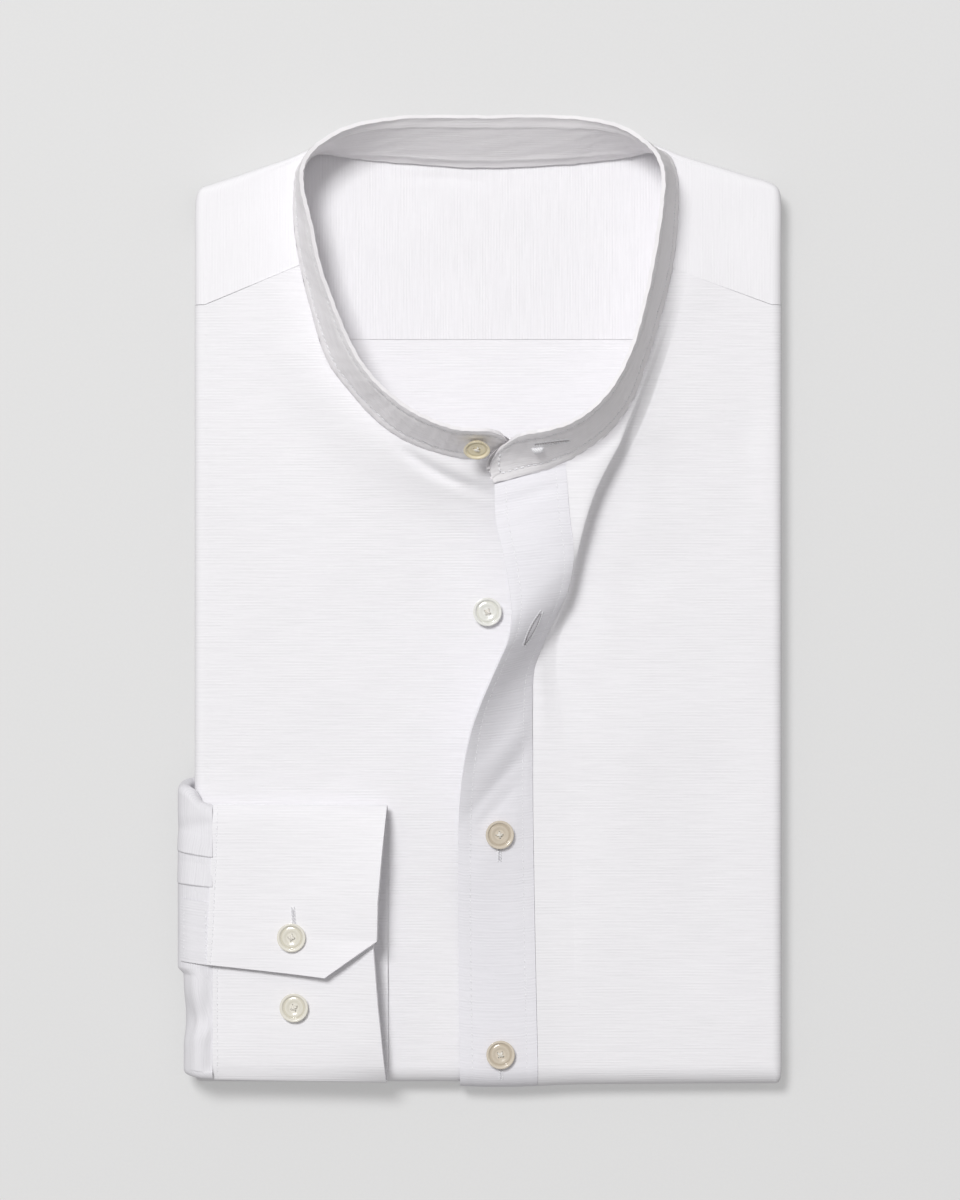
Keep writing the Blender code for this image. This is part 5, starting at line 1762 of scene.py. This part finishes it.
@dataclass(frozen=True)
class Buttonhole:
    """A worked buttonhole: its middle, the way it runs in degrees, and how wide its slit stands open.

    fall is that of the ground it lies on. tack is the middle of the bar at its end, from the hole's own.
    """

    panel: type[Panel]
    x: float
    y: float
    turn: float
    length: float = 13.0
    open_width: float = 0.0
    fall: float = 3.0
    tack: Pair | None = None

    @property
    def way(self) -> Pair:
        """Direction that the hole runs in."""
        return math.cos(math.radians(self.turn)), math.sin(math.radians(self.turn))

    def line(self, ground: Ground, places: list[Pair],
             lift: float) -> Arrays:
        """Points and normals a little above the cloth, for a line of stitches.

        Args:
            ground: the cloth.
            places: how far along the hole and how far to its left each point lies.
            lift: how far above the cloth.

        Returns:
            Points and normals, each (places, 3).
        """
        run_x, run_y = self.way
        spots = [ground.at(self.x + run_x*along - run_y*side, self.y + run_y*along + run_x*side)
                 for along, side in places]
        return (np.array([point + normal*lift for point, normal in spots]),
                np.array([normal for point, normal in spots]))


@dataclass
class Buttonholes:
    """Worked buttonholes: two close rows of cross stitches round a slit, with a bar across one end."""

    name: str = "buttonhole_stitches"
    # painted shade: thin dark beads laid in the slits where there is only shadow, paler for the closed
    # slits
    open_shade: Thread = Thread("open_slit_painted_shade", "#ADA9AC", "#9C989B")
    closed_shade: Thread = Thread("closed_slit_painted_shade", "#DEDCE1", "#D2D0D5")
    # length of a cross stitch, distance to the next, how far from the slit it starts, and its height
    row: float = 0.75
    pitch: float = 0.42
    slit_gap: float = 0.12
    height: float = 0.34
    # width and height of a slit's bead, and its reach to either side as a share of the hole's length
    slit_size: Pair = (0.3, 0.24)
    slit_share: float = 0.48
    # length, width and height of the bar's bead
    tack_length: float = 5.4
    tack_size: Pair = (3.2, 2.2)
    # how far above the cloth the stitches, the slit and the bar lie
    row_lift: float = 0.08
    slit_lift: float = 0.1
    tack_lift: float = 0.4
    # openings wider than this show both of their edges
    one_line: float = 0.3
    places: tuple[Buttonhole, ...] = (
        Buttonhole(FrontPlacket, 7.6, -92.8, 90.0),
        Buttonhole(FrontPlacket, 8.2, -178.0, 90.0),
        Buttonhole(FrontPlacket, 20.4, -8.6, 63.0, 15.0, 0.75),
        Buttonhole(Cuff, -72.2, -121.4, 94.0, 9.0, fall=1.2),
        Buttonhole(Collar, 27.6, 62.8, 7.0, 14.0, 0.15, tack=(-5.2, -2.2)),
    )

    def ground(self, hole: Buttonhole) -> Ground:
        """The cloth that a hole is worked in."""
        return Ground(hole.panel(), hole.fall)

    def rows(self) -> Stitching:
        """Cross stitches on both sides of every slit."""
        sewing = Stitching(self.name, length=self.row, gap=0.0, width=self.pitch*0.95,
                           height=self.height)
        for hole in self.places:
            ground = self.ground(hole)
            steps = int(hole.length/self.pitch)
            for index in range(steps + 1):
                along = (index/steps - 0.5)*hole.length
                inner = self.slit_gap + hole.open_width*math.sin(math.pi*index/steps)
                for side in (-1.0, 1.0):
                    points, normals = hole.line(
                        ground, [(along, side*inner), (along, side*(inner + self.row*1.02))],
                        self.row_lift)
                    # a little longer than the stitch, so that a whole one fits
                    middle, half = points.mean(0), unit(points[1] - points[0])*self.row*0.501
                    sewing.add_line(np.array((middle - half, middle + half)), normals)
        return sewing

    def slits(self, gaping: bool) -> Stitching:
        """Painted shade in the slits between the rows, as thin dark beads: the open ones or the closed
        ones.
        """
        width, height = self.slit_size
        slits = Stitching("open_slits" if gaping else "closed_slits", length=1.0, gap=0.0, width=width,
                          height=height, finish=self.open_shade if gaping else self.closed_shade)
        reach = self.slit_share
        for hole in self.places:
            if (hole.open_width > 0.0) != gaping:
                continue
            ground = self.ground(hole)
            for side in ((-1.0, 1.0) if hole.open_width > self.one_line else (0.0,)):
                places = [(along, side*hole.open_width*math.cos(math.pi*along/hole.length))
                          for along in np.linspace(-reach, reach, 12)*hole.length]
                slits.add_line(*hole.line(ground, places, self.slit_lift))
        return slits

    def tacks(self) -> Stitching:
        """Thick bar of thread at the end of a hole that has one."""
        width, height = self.tack_size
        tacks = Stitching("buttonhole_tacks", length=self.tack_length, gap=0.0, width=width,
                          height=height)
        for hole in self.places:
            if hole.tack:
                ends = [self.ground(hole).at(*(
                    place + shift + side*way*self.tack_length/2.0
                    for place, shift, way in zip((hole.x, hole.y), hole.tack, hole.way)
                )) for side in (-1.0, 1.0)]
                tacks.add_line([point + normal*self.tack_lift for point, normal in ends],
                               [normal for point, normal in ends])
        return tacks

    def build(self) -> None:
        """Builds rows, slits and bars, each as one piece."""
        for sewing in (self.rows(), self.slits(True), self.slits(False), self.tacks()):
            item = sewing.build()
            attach(item, "root")
        LOG.info("built buttonholes")


@dataclass
class Studio:
    """Plain pale floor, soft light from the upper left and a camera looking straight down."""

    camera_height: float = 1.8
    camera_y: float = 0.00234
    lens: float = 137.2
    sensor: float = 36.0
    near: float = 0.05
    far: float = 20.0
    # floor: size and height, tones of the paper, and how much brighter the camera sees it
    floor_size: float = 6.0
    floor_z: float = -0.0002
    floor_deep: str = "#B6B6B6"
    floor_pale: str = "#BABABA"
    floor_glow: float = 0.28
    key_direction: tuple[float, float, float] = (-0.25, 0.39, 1.0)
    key_distance: float = 3.4
    key_size: float = 0.85
    key_power: float = 77.3
    sky_colour: tuple[float, float, float, float] = (1.0, 0.985, 0.975, 1.0)
    sky_strength: float = 0.38

    def floor(self) -> None:
        """Builds the floor, of matt paper with a fine grain."""
        deselect()
        bpy.ops.mesh.primitive_plane_add(size=self.floor_size, location=(0.0, 0.0, self.floor_z))
        item = bpy.context.active_object
        item.name = "studio_floor"
        material = bpy.data.materials.new("matt_paper")
        material.use_nodes = True
        tree = material.node_tree
        shader = tree.nodes["Principled BSDF"]
        place = add_node(tree, "TexCoord").outputs["Object"]
        grain = add_node(tree, "TexNoise", Vector=place, Scale=900.0, Detail=2.0)
        colour = add_node(tree, "MixRGB", Fac=grain.outputs["Fac"], Color1=linear(self.floor_deep),
                          Color2=linear(self.floor_pale))
        tree.links.new(colour.outputs[0], shader.inputs["Base Color"])
        set_inputs(shader, {"Roughness": 0.95, "Specular IOR Level": 0.1,
                            "Emission Color": (1.0, 1.0, 1.0, 1.0)})
        seen = add_node(tree, "LightPath").outputs["Is Camera Ray"]
        glow = add_node(tree, "Math", {"operation": "MULTIPLY"}, i0=seen, i1=self.floor_glow)
        tree.links.new(glow.outputs[0], shader.inputs["Emission Strength"])
        item.data.materials.append(material)

    def key_light(self) -> None:
        """Adds a square area light aimed at the middle of the shirt."""
        place = Vector(self.key_direction).normalized()*self.key_distance
        deselect()
        bpy.ops.object.light_add(type="AREA", location=place)
        lamp = bpy.context.active_object
        lamp.name = "key_light"
        lamp.data.size = self.key_size
        lamp.data.energy = self.key_power
        lamp.rotation_euler = (-place).to_track_quat("-Z", "Y").to_euler()

    def sky(self) -> None:
        """Adds even light from all round."""
        world = bpy.data.worlds.new("studio")
        bpy.context.scene.world = world
        world.use_nodes = True
        set_inputs(world.node_tree.nodes["Background"],
                   {"Color": self.sky_colour, "Strength": self.sky_strength})

    def camera(self) -> None:
        """Adds the camera, straight above."""
        data = bpy.data.cameras.new("camera")
        data.lens = self.lens
        data.sensor_width = self.sensor
        data.clip_start, data.clip_end = self.near, self.far
        camera = bpy.data.objects.new("camera", data)
        camera.location = (0.0, self.camera_y, self.camera_height)
        bpy.context.scene.collection.objects.link(camera)
        bpy.context.scene.camera = camera
        bpy.context.scene.view_settings.view_transform = "Standard"

    def build(self) -> None:
        """Builds floor, light and camera."""
        self.floor()
        self.sky()
        self.key_light()
        self.camera()
        LOG.info("built studio")


def main() -> None:
    """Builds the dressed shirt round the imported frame."""
    logging.basicConfig(level=logging.INFO)
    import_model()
    Studio().build()
    HiddenLayers().build()
    for piece in (BackInside, YokeLining, Yoke, RightFront, LeftFront, FrontPlacket, Collar, Sleeve,
                  SleevePlacket, Cuff):
        piece().build()
    Buttonholes().build()
    Buttons().build()
    bpy.context.view_layer.update()


if __name__ == "__main__":
    main()
